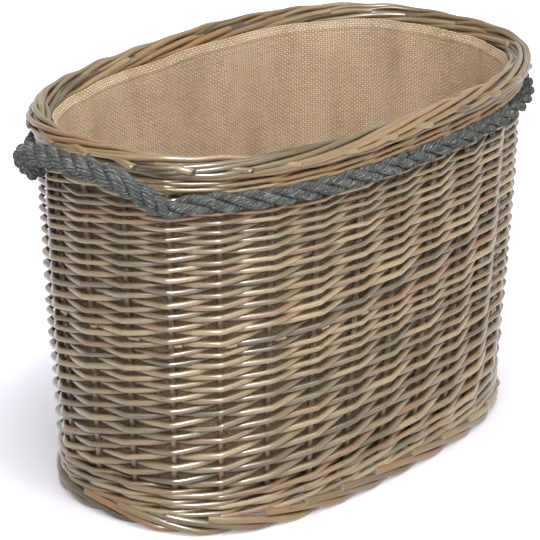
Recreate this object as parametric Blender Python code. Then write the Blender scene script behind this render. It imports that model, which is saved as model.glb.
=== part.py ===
"""An oval woven log basket with a cloth liner and two rope handles.

Metres, +Z up. The origin is on the floor under the middle of the basket, X runs along the basket
and the handles stand off from its two short ends. A place on the wall is given by a share of the
way round it: 0 is the middle of the +X end, 0.25 the +Y side, 0.5 the -X end, 0.75 the -Y side.
"""
import bisect
import math

import bmesh
import bpy
from mathutils import Matrix, Vector

# Sizes over the rolled border, and from the floor to its top.
BORDER_LENGTH = 0.626
BORDER_WIDTH = 0.402
BASKET_HEIGHT = 0.427
BORDER_THICKNESS = 0.026
BORDER_EXPONENT = 2.63
BORDER_STROKE_DEPTH = 0.003

# The wall leans in towards the floor, more at the sides than at the ends.
WALL_INSET = 0.008
END_TAPER = 0.019
SIDE_TAPER = 0.027
FOOT_EXPONENT = 2.80

# Rods of the side.
STAKE_COUNT = 28
STAKE_DIAMETER = 0.0075
WEAVER_THICKNESS = 0.0065
BAY_RECESS = 0.0055
ROW_GROOVE_DEPTH = 0.0045
WALE_BAY_RECESS = 0.002
WALE_PROUD = 0.0015
STAKE_BUNCHING_SHARE = 0.06

# Heights of the rows, from the floor up.
FOOT_HEIGHT = 0.016
FOOT_WIDTH = 0.017
FOOT_OVERHANG = 0.004
FOOT_STROKE_DEPTH = 0.0015
FOOT_GAP = 0.006
UPSETT_HEIGHT = 0.030
WEAVE_JOIN_HEIGHT = 0.215
LOWER_WEAVE_ROW_COUNT = 11
UPPER_WEAVE_ROW_COUNT = 13
PACKING_ROW_COUNT = 2
# A band of weave starts with its thickest rods, so its top row is this share of its bottom row.
TOP_ROW_SHARE = 0.64
WALE_HEIGHT = 0.0105

# The woven mat of the bottom and the sticks inside it.
BASE_THICKNESS = 0.0165
LONG_STICK_COUNT = 5
LONG_STICK_PITCH = 0.028
CROSS_STICK_COUNT = 7
CROSS_STICK_PITCH = 0.055
STICK_DIAMETER = 0.006
STICK_COVER = 0.0015
STICK_END_MARGIN = 0.006

# Rope and handles.
ROPE_DIAMETER = 0.020
ROPE_DIP = 0.008
ROPE_LEAD = 0.045
ROPE_JOIN_OFFSET = 0.0376
ROPE_JOIN_GAP = 0.004
ROPE_POINT_PITCH = 0.022
HANDLE_SPAN = 0.172
HANDLE_REACH = 0.068
# The left handle stands out and up from its end, and the right one hangs down by its end.
LEFT_HANDLE_TILT_DEG = 41.6
RIGHT_HANDLE_TILT_DEG = -41.6
HANDLE_ROUNDING = 0.55
HANDLE_RISE = 1.1
HANDLE_POINTS = 25

# The hessian liner.
CLOTH_THICKNESS = 0.0012
HEM_HEIGHT = 0.012
LINER_FOLD_DEPTH = 0.009
LINER_FLOOR_FOLD_SHARE = 0.25
# Each soft fold: its place round the wall, its half width round the wall, and its depth.
LINER_FOLD_SHARES = (
    (0.035, 0.012, 0.7),
    (0.105, 0.018, 1.0),
    (0.190, 0.014, 0.6),
    (0.265, 0.020, 0.9),
    (0.345, 0.013, 0.7),
    (0.430, 0.016, 1.0),
    (0.515, 0.014, 0.6),
    (0.600, 0.017, 0.8),
    (0.690, 0.013, 0.7),
    (0.775, 0.020, 0.9),
    (0.860, 0.014, 0.8),
    (0.945, 0.016, 0.9),
)

# Gap between neighbours, and how far a cutter runs past what it cuts.
CLEARANCE = 0.0003
OVERRUN = 0.010

# How finely the solids are divided. A bay is the space from one stake to the next.
COLUMNS_PER_BAY = 4
SIDE_COLUMNS_PER_BAY = 2
FOOT_COLUMNS_PER_BAY = 3
BASE_COLUMNS_PER_BAY = 2
ROD_SIDES = 6
BORDER_SIDES = 9
BORDER_LOBES = 3
FOOT_SIDES = 8
FOOT_LOBES = 2
LINER_WALL_LEVELS = 3
LINER_HEM_LEVELS = 1
ROPE_BEVEL_STEPS = 2
BALL_STEPS = 3
BALL_TIP_SHARE = 0.08
OVAL_SAMPLES = 2880
OUTWARD_SAMPLES = 4
SEARCH_STEPS = 40

# Faces that meet at more than this angle keep a sharp edge between them.
WOVEN_SHARP_ANGLE_DEG = 40
ROLLED_SHARP_ANGLE_DEG = 60
ROD_SHARP_ANGLE_DEG = 70

# Colour and roughness of each material.
WILLOW = ((0.42, 0.34, 0.22), 0.45)
STOUT_WILLOW = ((0.46, 0.37, 0.24), 0.42)
STAKE_WILLOW = ((0.36, 0.29, 0.20), 0.50)
BASE_WILLOW = ((0.40, 0.33, 0.22), 0.55)
ROPE = ((0.10, 0.115, 0.10), 0.85)
HESSIAN = ((0.50, 0.38, 0.23), 0.90)

# Heights and offsets that follow from the sizes above. An offset is measured outwards from the
# wall's outer face at the stakes.
ROPE_RADIUS = ROPE_DIAMETER / 2
STAKE_RADIUS = STAKE_DIAMETER / 2
BORDER_RADIUS = BORDER_THICKNESS / 2
WALE_TOP = BASKET_HEIGHT - BORDER_THICKNESS - CLEARANCE
WALE_BOTTOM = WALE_TOP - WALE_HEIGHT
ROPE_HEIGHT = WALE_BOTTOM - CLEARANCE - ROPE_RADIUS
SIDE_WEAVE_TOP = ROPE_HEIGHT - ROPE_RADIUS - CLEARANCE
UPSETT_BOTTOM = FOOT_HEIGHT + FOOT_GAP
UPSETT_TOP = UPSETT_BOTTOM + UPSETT_HEIGHT
BASE_TOP = UPSETT_BOTTOM + BASE_THICKNESS
LINER_BOTTOM = BASE_TOP + CLEARANCE
LINER_TOP = WALE_TOP
STAKE_OFFSET = -WEAVER_THICKNESS - STAKE_RADIUS
INNER_OFFSET = -2 * WEAVER_THICKNESS - STAKE_DIAMETER
LINER_OFFSET = INNER_OFFSET - CLEARANCE
GROOVE_OFFSET = ROPE_RADIUS + CLEARANCE - WEAVER_THICKNESS
ROOT_OFFSET = ROPE_RADIUS + CLEARANCE
ROOT_HEIGHT = ROPE_HEIGHT - ROPE_DIP


class Oval:
    """A superellipse whose points are found by their share of the way round it."""

    def __init__(self, half_length, half_width, exponent):
        self.points = []
        for step in range(OVAL_SAMPLES + 1):
            angle = math.tau * step / OVAL_SAMPLES
            across = math.cos(angle)
            up = math.sin(angle)
            x = half_length * math.copysign(abs(across) ** (2 / exponent), across)
            y = half_width * math.copysign(abs(up) ** (2 / exponent), up)
            self.points.append(Vector((x, y, 0.0)))
        self.lengths = [0.0]
        for first, second in zip(self.points, self.points[1:]):
            self.lengths.append(self.lengths[-1] + (second - first).length)
        self.perimeter = self.lengths[-1]

    def at(self, share):
        """Return the point at a share of the perimeter."""
        target = (share % 1.0) * self.perimeter
        index = min(max(bisect.bisect_right(self.lengths, target), 1), OVAL_SAMPLES)
        start = self.lengths[index - 1]
        span = self.lengths[index] - start
        return self.points[index - 1].lerp(self.points[index], (target - start) / span)

    def outward(self, share):
        """Return the level outward direction at a share of the perimeter."""
        step = OUTWARD_SAMPLES / OVAL_SAMPLES
        along = self.at(share + step) - self.at(share - step)
        return Vector((along.y, -along.x, 0.0)).normalized()


WALL_TOP_OVAL = Oval(BORDER_LENGTH / 2 - WALL_INSET, BORDER_WIDTH / 2 - WALL_INSET, BORDER_EXPONENT)
WALL_FOOT_OVAL = Oval(
    BORDER_LENGTH / 2 - WALL_INSET - END_TAPER,
    BORDER_WIDTH / 2 - WALL_INSET - SIDE_TAPER,
    FOOT_EXPONENT,
)
BORDER_OVAL = Oval(BORDER_LENGTH / 2 - BORDER_RADIUS, BORDER_WIDTH / 2 - BORDER_RADIUS, BORDER_EXPONENT)


def wall_point(share, height, offset):
    """Return the point on the leaning wall at a share round it, a height and an outward offset."""
    rise = height / BASKET_HEIGHT
    point = WALL_FOOT_OVAL.at(share).lerp(WALL_TOP_OVAL.at(share), rise)
    outward = WALL_FOOT_OVAL.outward(share).lerp(WALL_TOP_OVAL.outward(share), rise).normalized()
    point += outward * offset
    point.z = height
    return point


def bay_share(bay):
    """Return the share round the wall of a place counted in bays. Stakes stand at the half bays."""
    even = bay / STAKE_COUNT
    return even - STAKE_BUNCHING_SHARE / (2 * math.tau) * math.sin(2 * math.tau * even)


def bay_recess(bay, depth):
    """Return how far the weave draws in at a place between two stakes."""
    return depth * (1 + math.cos(math.tau * bay)) / 2


def smooth_step(value):
    """Return a value from 0 to 1 that starts and ends gently."""
    value = min(max(value, 0.0), 1.0)
    return value * value * (3 - 2 * value)


def new_material(name, colour, roughness):
    """Return a plain Principled material."""
    material = bpy.data.materials.new(name)
    material.use_nodes = True
    shader = material.node_tree.nodes["Principled BSDF"]
    shader.inputs["Base Color"].default_value = (*colour, 1.0)
    shader.inputs["Roughness"].default_value = roughness
    shader.inputs["Metallic"].default_value = 0.0
    return material


def add_object(name, data, finish):
    """Put a mesh or a curve in the scene under its name, with a material of its own."""
    thing = bpy.data.objects.new(name, data)
    bpy.context.scene.collection.objects.link(thing)
    if finish is not None:
        data.materials.append(new_material(name + "_finish", *finish))
    return thing


def mesh_from_bmesh(name, shape, sharp_angle_deg=WOVEN_SHARP_ANGLE_DEG):
    """Turn a bmesh into a mesh with outward faces, smooth but for its sharp edges."""
    bmesh.ops.recalc_face_normals(shape, faces=shape.faces)
    mesh = bpy.data.meshes.new(name)
    shape.to_mesh(mesh)
    shape.free()
    mesh.shade_smooth()
    mesh.set_sharp_from_angle(angle=math.radians(sharp_angle_deg))
    return mesh


def sweep(sections, closed):
    """Return a bmesh that joins equal sections into a ring, or into a bar with capped ends."""
    shape = bmesh.new()
    rings = [[shape.verts.new(point) for point in section] for section in sections]
    pairs = list(zip(rings, rings[1:]))
    if closed:
        pairs.append((rings[-1], rings[0]))
    for first, second in pairs:
        for index in range(len(first)):
            after = (index + 1) % len(first)
            shape.faces.new((first[index], first[after], second[after], second[index]))
    if not closed:
        shape.faces.new(rings[0])
        shape.faces.new(rings[-1])
    bmesh.ops.triangulate(shape, faces=shape.faces)
    return shape


def rod_mesh(name, length, radius):
    """Return a straight rod that stands on its origin."""
    shape = bmesh.new()
    bmesh.ops.create_cone(
        shape,
        cap_ends=True,
        segments=ROD_SIDES,
        radius1=radius,
        radius2=radius,
        depth=length,
        matrix=Matrix.Translation((0.0, 0.0, length / 2)),
    )
    return mesh_from_bmesh(name, shape, ROD_SHARP_ANGLE_DEG)


def place_along(thing, start, end):
    """Stand an object on a point, turned so that its Z axis runs to another point."""
    thing.location = start
    thing.rotation_euler = (end - start).to_track_quat("Z", "Y").to_euler()


def make_cutter(name, shape):
    """Return a hidden object that only cuts others."""
    cutter = add_object(name, mesh_from_bmesh(name, shape), None)
    cutter.hide_render = True
    cutter.display_type = "WIRE"
    return cutter


def cut(thing, cutter):
    """Take the cutter's shape out of an object."""
    modifier = thing.modifiers.new("holes", "BOOLEAN")
    modifier.operation = "DIFFERENCE"
    modifier.solver = "EXACT"
    modifier.object = cutter


def rods_cutter(name, lines, radius):
    """Return one cutter made of a clearance hole round each rod, longer than the rod both ways."""
    hole_radius = radius + CLEARANCE / math.cos(math.pi / ROD_SIDES)
    shape = bmesh.new()
    for start, end in lines:
        along = (end - start).normalized()
        length = (end - start).length + 2 * OVERRUN
        turn = along.to_track_quat("Z", "Y").to_matrix().to_4x4()
        middle = (start + end) / 2
        bmesh.ops.create_cone(
            shape,
            cap_ends=True,
            segments=ROD_SIDES,
            radius1=hole_radius,
            radius2=hole_radius,
            depth=length,
            matrix=Matrix.Translation(middle) @ turn,
        )
    return make_cutter(name, shape)


def stake_lines():
    """Return the start and end of each stake, from the foot border up to the top border."""
    lines = []
    for index in range(STAKE_COUNT):
        share = bay_share(index + 0.5)
        start = wall_point(share, FOOT_HEIGHT + CLEARANCE, STAKE_OFFSET)
        end = wall_point(share, WALE_TOP, STAKE_OFFSET)
        lines.append((start, end))
    return lines


def make_stakes(lines):
    """Make the upright rods, each one object."""
    for index, (start, end) in enumerate(lines):
        name = "stake_%02d" % (index + 1)
        stake = add_object(name, rod_mesh(name, (end - start).length, STAKE_RADIUS), STAKE_WILLOW)
        place_along(stake, start, end)


def rows_rise(share):
    """Return the share of a band's height that a share of its rows takes up, from the bottom."""
    return share * (2 - (1 - TOP_ROW_SHARE) * share) / (1 + TOP_ROW_SHARE)


def band_levels(bottom, top, rows):
    """Return the heights up a band's outer face and how deep the groove between rows is at each."""
    if rows == 0:
        return [(bottom, 0.0), (top, 0.0)]
    levels = []
    for half_row in range(2 * rows + 1):
        height = bottom + (top - bottom) * rows_rise(half_row / (2 * rows))
        levels.append((height, ROW_GROOVE_DEPTH if half_row % 2 == 0 else 0.0))
    return levels


def band_sections(bays, bottom, top, proud, recess, rows=0):
    """Return the upright sections of a woven band that bulges round each stake and at each row."""
    levels = band_levels(bottom, top, rows)
    sections = []
    for bay in bays:
        share = bay_share(bay)
        draw_in = bay_recess(bay, recess)
        section = [wall_point(share, height, proud - max(draw_in, groove)) for height, groove in levels]
        section.append(wall_point(share, top, INNER_OFFSET + draw_in))
        section.append(wall_point(share, bottom, INNER_OFFSET + draw_in))
        sections.append(section)
    return sections


def make_wale(name, bottom, top, stake_holes, finish, proud):
    """Make a smooth band of wale that goes all the way round, with a hole for each stake."""
    bays = [column / COLUMNS_PER_BAY for column in range(STAKE_COUNT * COLUMNS_PER_BAY)]
    shape = sweep(band_sections(bays, bottom, top, proud, WALE_BAY_RECESS), True)
    cut(add_object(name, mesh_from_bmesh(name, shape), finish), stake_holes)


def make_side_weave(name, bottom, top, rows, stake_holes):
    """Make a band of side weave, a rib for each row of rods, with a hole for each stake."""
    bays = [column / SIDE_COLUMNS_PER_BAY for column in range(STAKE_COUNT * SIDE_COLUMNS_PER_BAY)]
    shape = sweep(band_sections(bays, bottom, top, 0.0, BAY_RECESS, rows), True)
    cut(add_object(name, mesh_from_bmesh(name, shape), WILLOW), stake_holes)


def make_end_packing(name, middle_bay, root_bay, stake_holes):
    """Make the rows that fill the rope's groove behind a handle, between the handle's roots."""
    half = math.floor(root_bay * SIDE_COLUMNS_PER_BAY)
    bays = [middle_bay + column / SIDE_COLUMNS_PER_BAY for column in range(-half, half + 1)]
    bays[0] = middle_bay - root_bay
    bays[-1] = middle_bay + root_bay
    bottom = SIDE_WEAVE_TOP + CLEARANCE
    top = WALE_BOTTOM - CLEARANCE
    shape = sweep(band_sections(bays, bottom, top, 0.0, BAY_RECESS, PACKING_ROW_COUNT), False)
    packing = add_object(name, mesh_from_bmesh(name, shape), WILLOW)
    cut(packing, stake_holes)


def rolled_sections(oval_point, radius, sides, lobes, strokes, depth, columns):
    """Return the sections of a ring whose surface has slanting strokes, as rolled rods leave."""
    sections = []
    for column in range(columns):
        share = column / columns
        centre, outward = oval_point(share)
        section = []
        for side in range(sides):
            angle = math.tau * side / sides
            wave = (1 - math.cos(lobes * angle - math.tau * strokes * share)) / 2
            reach = radius - depth * wave
            rise = Vector((0.0, 0.0, math.sin(angle) * reach))
            section.append(centre + outward * math.cos(angle) * reach + rise)
        sections.append(section)
    return sections


def make_top_border():
    """Make the rolled border of the stakes' own ends."""

    def centre_line(share):
        point = BORDER_OVAL.at(share)
        point.z = BASKET_HEIGHT - BORDER_RADIUS
        return point, BORDER_OVAL.outward(share)

    sections = rolled_sections(
        centre_line,
        BORDER_RADIUS,
        BORDER_SIDES,
        BORDER_LOBES,
        STAKE_COUNT,
        BORDER_STROKE_DEPTH,
        STAKE_COUNT * COLUMNS_PER_BAY,
    )
    shape = sweep(sections, True)
    mesh = mesh_from_bmesh("top_border", shape, ROLLED_SHARP_ANGLE_DEG)
    add_object("top_border", mesh, STOUT_WILLOW)


def make_foot_border():
    """Make the plaited foot, flat underneath, on which the basket stands."""
    columns = STAKE_COUNT * FOOT_COLUMNS_PER_BAY
    half_width = FOOT_WIDTH / 2
    middle = FOOT_OVERHANG - half_width
    sections = []
    for column in range(columns):
        share = column / columns
        section = []
        for side in range(FOOT_SIDES):
            angle = math.tau * (side + 0.5) / FOOT_SIDES
            wave = (1 - math.cos(FOOT_LOBES * angle - math.tau * STAKE_COUNT * share)) / 2
            on_floor = math.sin(angle) < -math.cos(math.tau / FOOT_SIDES)
            draw_in = 0.0 if on_floor else FOOT_STROKE_DEPTH * wave
            offset = middle + math.cos(angle) * (half_width - draw_in)
            rise = (1 + math.sin(angle) / math.cos(math.pi / FOOT_SIDES)) / 2
            height = 0.0 if on_floor else rise * (FOOT_HEIGHT - draw_in)
            section.append(wall_point(share, height, offset))
        sections.append(section)
    mesh = mesh_from_bmesh("foot_border", sweep(sections, True), ROLLED_SHARP_ANGLE_DEG)
    add_object("foot_border", mesh, STOUT_WILLOW)


def slab(outline, thickness):
    """Return a level slab that stands on a closed outline."""
    shape = bmesh.new()
    lower = [shape.verts.new(point) for point in outline]
    upper = [shape.verts.new(point + Vector((0.0, 0.0, thickness))) for point in outline]
    for index in range(len(lower)):
        after = (index + 1) % len(lower)
        shape.faces.new((lower[index], lower[after], upper[after], upper[index]))
    shape.faces.new(lower)
    shape.faces.new(upper)
    return shape


def half_chord(half_length, half_width, exponent, across):
    """Return half the length of an oval at a distance from its long axis."""
    return half_length * (1 - abs(across / half_width) ** exponent) ** (1 / exponent)


def stick_lines():
    """Return the start and end of each stick of the bottom, by name."""
    half_length = BORDER_LENGTH / 2 - WALL_INSET - END_TAPER + INNER_OFFSET - STICK_END_MARGIN
    half_width = BORDER_WIDTH / 2 - WALL_INSET - SIDE_TAPER + INNER_OFFSET - STICK_END_MARGIN
    low = UPSETT_BOTTOM + STICK_COVER + CLEARANCE + STICK_DIAMETER / 2
    high = BASE_TOP - STICK_COVER - CLEARANCE - STICK_DIAMETER / 2
    lines = {}
    for index in range(LONG_STICK_COUNT):
        y = (index - (LONG_STICK_COUNT - 1) / 2) * LONG_STICK_PITCH
        reach = half_chord(half_length, half_width, FOOT_EXPONENT, y)
        lines["long_base_stick_%d" % (index + 1)] = (Vector((-reach, y, high)), Vector((reach, y, high)))
    for index in range(CROSS_STICK_COUNT):
        x = (index - (CROSS_STICK_COUNT - 1) / 2) * CROSS_STICK_PITCH
        reach = half_chord(half_width, half_length, FOOT_EXPONENT, x)
        lines["cross_base_stick_%d" % (index + 1)] = (Vector((x, -reach, low)), Vector((x, reach, low)))
    return lines


def make_base():
    """Make the woven mat of the bottom and the sticks that lie inside it."""
    columns = STAKE_COUNT * BASE_COLUMNS_PER_BAY
    inset = INNER_OFFSET - CLEARANCE
    outline = [wall_point(column / columns, UPSETT_BOTTOM, inset) for column in range(columns)]
    mesh = mesh_from_bmesh("base_weave", slab(outline, BASE_THICKNESS))
    base = add_object("base_weave", mesh, BASE_WILLOW)
    lines = stick_lines()
    for name, (start, end) in lines.items():
        stick = add_object(name, rod_mesh(name, (end - start).length, STICK_DIAMETER / 2), STAKE_WILLOW)
        place_along(stick, start, end)
    cut(base, rods_cutter("stick_holes", lines.values(), STICK_DIAMETER / 2))


def fold_depth(share, height):
    """Return how far a soft fold of the liner stands in from the weave."""
    rise = smooth_step((height - LINER_BOTTOM) / (LINER_TOP - LINER_BOTTOM))
    depth = 0.0
    for centre_share, width_share, depth_share in LINER_FOLD_SHARES:
        away = (share - centre_share + 0.5) % 1.0 - 0.5
        depth += LINER_FOLD_DEPTH * depth_share * math.exp(-((away / width_share) ** 2))
    return depth * (LINER_FLOOR_FOLD_SHARE + (1 - LINER_FLOOR_FOLD_SHARE) * rise)


def cloth_ring(name, bottom, top, levels, offset):
    """Make a thin ring of cloth that follows the liner's folds."""
    heights = [bottom + (top - bottom) * level / levels for level in range(levels + 1)]
    columns = STAKE_COUNT * COLUMNS_PER_BAY
    sections = []
    for column in range(columns):
        share = column / columns
        outer = []
        inner = []
        for height in heights:
            place = offset - fold_depth(share, height)
            outer.append(wall_point(share, height, place))
            inner.append(wall_point(share, height, place - CLOTH_THICKNESS))
        sections.append(outer + inner[::-1])
    mesh = mesh_from_bmesh(name, sweep(sections, True), ROLLED_SHARP_ANGLE_DEG)
    add_object(name, mesh, HESSIAN)


def make_liner():
    """Make the hessian bag: its wall, its stitched hem and its floor."""
    inner_face = LINER_OFFSET - CLOTH_THICKNESS - CLEARANCE
    cloth_ring("liner_wall", LINER_BOTTOM, LINER_TOP, LINER_WALL_LEVELS, LINER_OFFSET)
    cloth_ring("liner_hem", LINER_TOP - HEM_HEIGHT, LINER_TOP, LINER_HEM_LEVELS, inner_face)
    columns = STAKE_COUNT * COLUMNS_PER_BAY
    outline = []
    for column in range(columns):
        share = column / columns
        deepest = fold_depth(share, LINER_BOTTOM + CLOTH_THICKNESS)
        outline.append(wall_point(share, LINER_BOTTOM, inner_face - CLEARANCE - deepest))
    add_object("liner_base", mesh_from_bmesh("liner_base", slab(outline, CLOTH_THICKNESS)), HESSIAN)


def rope_curve(name, points, radii=None):
    """Return a rope's tube through its points, with an optional share of its radius at each."""
    curve = bpy.data.curves.new(name, "CURVE")
    curve.dimensions = "3D"
    curve.twist_mode = "Z_UP"
    curve.bevel_depth = ROPE_RADIUS
    curve.bevel_resolution = ROPE_BEVEL_STEPS
    curve.use_fill_caps = True
    spline = curve.splines.new("POLY")
    spline.points.add(len(points) - 1)
    for index, point in enumerate(points):
        spline.points[index].co = (*point, 1.0)
        spline.points[index].radius = 1.0 if radii is None else radii[index]
    return curve


def find_share(low, high, reached):
    """Return the share between two shares at which a rising test first holds."""
    for _ in range(SEARCH_STEPS):
        middle = (low + high) / 2
        if reached(middle):
            high = middle
        else:
            low = middle
    return (low + high) / 2


def root_share():
    """Return the share at which a handle's root lies, from the middle of its end."""

    def past_root(share):
        return wall_point(share, ROOT_HEIGHT, ROOT_OFFSET).y > HANDLE_SPAN / 2

    return find_share(0.0, 0.25, past_root)


def make_wall_ropes(root):
    """Make the three lengths of rope that lie in the groove, from handle root to handle root."""
    perimeter = WALL_TOP_OVAL.perimeter
    lead = ROPE_LEAD / perimeter
    end_gap = (ROPE_RADIUS + CLEARANCE) / perimeter
    roots = (root, 0.5 - root, 0.5 + root, 1.0 - root)

    def rope_point(share):
        away = min(abs((share - place + 0.5) % 1.0 - 0.5) for place in roots)
        leave = smooth_step(1 - (away - end_gap) / lead)
        height = ROPE_HEIGHT - ROPE_DIP * leave
        return wall_point(share, height, GROOVE_OFFSET + (ROOT_OFFSET - GROOVE_OFFSET) * leave)

    def past_join(share):
        return wall_point(share, ROPE_HEIGHT, 0.0).x > -ROPE_JOIN_OFFSET

    join = find_share(0.5, 1.0, past_join)
    half_join = ROPE_JOIN_GAP / 2 / perimeter
    lengths = {
        "rope_back": (root + end_gap, 0.5 - root - end_gap),
        "rope_front_left": (0.5 + root + end_gap, join - half_join),
        "rope_front_right": (join + half_join, 1.0 - root - end_gap),
    }
    for name, (start, end) in lengths.items():
        steps = math.ceil((end - start) * perimeter / ROPE_POINT_PITCH)
        points = [rope_point(start + (end - start) * step / steps) for step in range(steps + 1)]
        add_object(name, rope_curve(name, points), ROPE)


def handle_points(side):
    """Return a handle's points and radius shares about its hinge axis, level and standing out."""
    points = []
    radii = []
    for step in range(HANDLE_POINTS):
        angle = math.pi * step / (HANDLE_POINTS - 1)
        across = -math.copysign(abs(math.cos(angle)) ** HANDLE_ROUNDING, math.cos(angle))
        out = math.sin(angle) ** HANDLE_RISE if 0 < step < HANDLE_POINTS - 1 else 0.0
        points.append(Vector((side * HANDLE_REACH * out, HANDLE_SPAN / 2 * across, 0.0)))
        radii.append(1.0)
    # Each end is half a ball about the hinge axis, so that it turns without touching the wall.
    for step in range(1, BALL_STEPS + 1):
        turn = math.pi / 2 * step / BALL_STEPS
        beyond = Vector((-side * ROPE_RADIUS * math.sin(turn), 0.0, 0.0))
        points.insert(0, Vector((0.0, -HANDLE_SPAN / 2, 0.0)) + beyond)
        points.append(Vector((0.0, HANDLE_SPAN / 2, 0.0)) + beyond)
        radius_share = max(math.cos(turn), BALL_TIP_SHARE)
        radii.insert(0, radius_share)
        radii.append(radius_share)
    return points, radii


def make_handle(name, side, tilt_deg, root):
    """Make a rope handle whose origin is on the axis through its two roots."""
    points, radii = handle_points(side)
    handle = add_object(name, rope_curve(name, points, radii), ROPE)
    out = wall_point(root, ROOT_HEIGHT, ROOT_OFFSET).x
    handle.location = (side * out, 0.0, ROOT_HEIGHT)
    handle.rotation_euler = (0.0, -side * math.radians(tilt_deg), 0.0)


def clear_scene():
    """Remove every object that the file opened with."""
    for thing in list(bpy.data.objects):
        bpy.data.objects.remove(thing, do_unlink=True)


def main():
    """Build the basket from the floor up."""
    clear_scene()
    lines = stake_lines()
    stake_holes = rods_cutter("stake_holes", lines, STAKE_RADIUS)
    make_foot_border()
    make_base()
    make_stakes(lines)
    make_wale("upsett_wale", UPSETT_BOTTOM, UPSETT_TOP, stake_holes, WILLOW, 0.0)
    lower_bottom = UPSETT_TOP + CLEARANCE
    upper_bottom = WEAVE_JOIN_HEIGHT + CLEARANCE
    make_side_weave("lower_side_weave", lower_bottom, WEAVE_JOIN_HEIGHT, LOWER_WEAVE_ROW_COUNT, stake_holes)
    make_side_weave("upper_side_weave", upper_bottom, SIDE_WEAVE_TOP, UPPER_WEAVE_ROW_COUNT, stake_holes)
    make_wale("top_wale", WALE_BOTTOM, WALE_TOP, stake_holes, STOUT_WILLOW, WALE_PROUD)
    make_top_border()
    root = root_share()
    root_bay = find_share(0.0, STAKE_COUNT / 4, lambda bay: bay_share(bay) > root)
    make_end_packing("right_end_packing", 0.0, root_bay, stake_holes)
    make_end_packing("left_end_packing", STAKE_COUNT / 2, root_bay, stake_holes)
    make_liner()
    make_wall_ropes(root)
    make_handle("left_handle_rope", -1.0, LEFT_HANDLE_TILT_DEG, root)
    make_handle("right_handle_rope", 1.0, RIGHT_HANDLE_TILT_DEG, root)


main()
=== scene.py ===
"""The looks of a woven log carrier: willow rods, a hessian liner and a laid rope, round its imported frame.

Metres, +Z up. A place on the wall is given by a share of the way round it, as in the frame's own
solids: 0 is the middle of the +X end, 0.25 the +Y side, 0.5 the -X end, 0.75 the -Y side. A bay is
the space from one stake to the next, and stakes stand at the half bays.
"""
import logging
import math
from dataclasses import dataclass, field
from enum import Enum

import bpy
import numpy as np
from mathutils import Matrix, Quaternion, Vector


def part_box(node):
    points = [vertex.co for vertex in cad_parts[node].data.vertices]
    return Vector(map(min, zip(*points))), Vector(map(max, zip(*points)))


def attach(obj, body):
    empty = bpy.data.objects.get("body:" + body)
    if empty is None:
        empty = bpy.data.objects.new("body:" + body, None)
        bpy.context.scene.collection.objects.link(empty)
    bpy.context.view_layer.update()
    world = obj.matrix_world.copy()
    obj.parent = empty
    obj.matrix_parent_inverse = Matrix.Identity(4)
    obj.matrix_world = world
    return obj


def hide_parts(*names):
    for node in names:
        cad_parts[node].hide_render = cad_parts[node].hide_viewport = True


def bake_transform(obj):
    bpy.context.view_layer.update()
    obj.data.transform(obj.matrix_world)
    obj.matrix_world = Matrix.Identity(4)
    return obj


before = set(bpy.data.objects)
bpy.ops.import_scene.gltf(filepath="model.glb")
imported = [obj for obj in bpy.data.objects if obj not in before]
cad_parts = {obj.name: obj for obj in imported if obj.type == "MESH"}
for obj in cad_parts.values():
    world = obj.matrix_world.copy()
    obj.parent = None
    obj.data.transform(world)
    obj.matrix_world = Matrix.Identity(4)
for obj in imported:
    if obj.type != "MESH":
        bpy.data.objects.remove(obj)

LOG = logging.getLogger("log_carrier")
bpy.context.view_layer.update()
Colour = tuple[float, float, float]
Scale = tuple[float, float, float]
Range = tuple[float, float]
Socket = bpy.types.NodeSocket
OVAL_SAMPLES = 2880
OUTWARD_STEP = 4 / OVAL_SAMPLES
SHORTEST = 1e-12
SAME_BAY = 1e-6
BASKET = "basket"
# Where each bay of a stroke is sampled: closest where it bends round a stake.
STROKE_SAMPLES = (0.0, 0.03, 0.07, 0.13, 0.25, 0.5, 0.75, 0.87, 0.93, 0.97)

# The display curve: a straight toe, and a shifted power above it.
FULL = 255
TOE_END = 0.04045
TOE_SLOPE = 12.92
CURVE_SHIFT = 0.055
CURVE_POWER = 2.4


class Domain(Enum):
    """The kinds of number that a rod carries to its surface."""

    GIRTH = "girth"
    ALONG = "along"
    TONE = "tone"
    WARMTH = "warmth"
    # How much painted shade a rod carries, where it lies deep or hidden.
    RECESS_SHADE = "recess_shade"


class Slot(Enum):
    """Names of material slots."""

    WEAVER = "weaver_willow"
    BORDER = "border_willow"
    STAKE = "stake_willow"
    BASE = "base_willow"
    STICK = "base_stick_willow"
    ROPE = "rope"
    HESSIAN = "hessian"


def paint(red: int, green: int, blue: int) -> Colour:
    """Turn a display colour into linear light.

    Args:
        red: From 0 to 255.
        green: From 0 to 255.
        blue: From 0 to 255.

    Returns:
        The three parts, from 0 to 1.
    """
    parts = []
    for value in (red, green, blue):
        share = value / FULL
        curved = ((share + CURVE_SHIFT) / (1 + CURVE_SHIFT)) ** CURVE_POWER
        parts.append(share / TOE_SLOPE if share <= TOE_END else curved)
    return tuple(parts)


def smooth_step(value: np.ndarray) -> np.ndarray:
    """Return values from 0 to 1 that start and end gently."""
    value = np.clip(value, 0.0, 1.0)
    return value * value * (3 - 2 * value)


def unit(vectors: np.ndarray) -> np.ndarray:
    """Return vectors of length one."""
    return vectors / np.maximum(np.linalg.norm(vectors, axis=-1, keepdims=True), SHORTEST)


def run_length(points: np.ndarray) -> np.ndarray:
    """Return how far along a line each of its points lies."""
    steps = np.linalg.norm(np.diff(points, axis=0), axis=1)
    return np.concatenate([[0.0], np.cumsum(steps)])


def rows_rise(share: np.ndarray | float, top_row_share: float) -> np.ndarray | float:
    """Return the share of a band's height that a share of its rows takes up, as rows get thinner."""
    return share * (2 - (1 - top_row_share) * share) / (1 + top_row_share)


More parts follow.
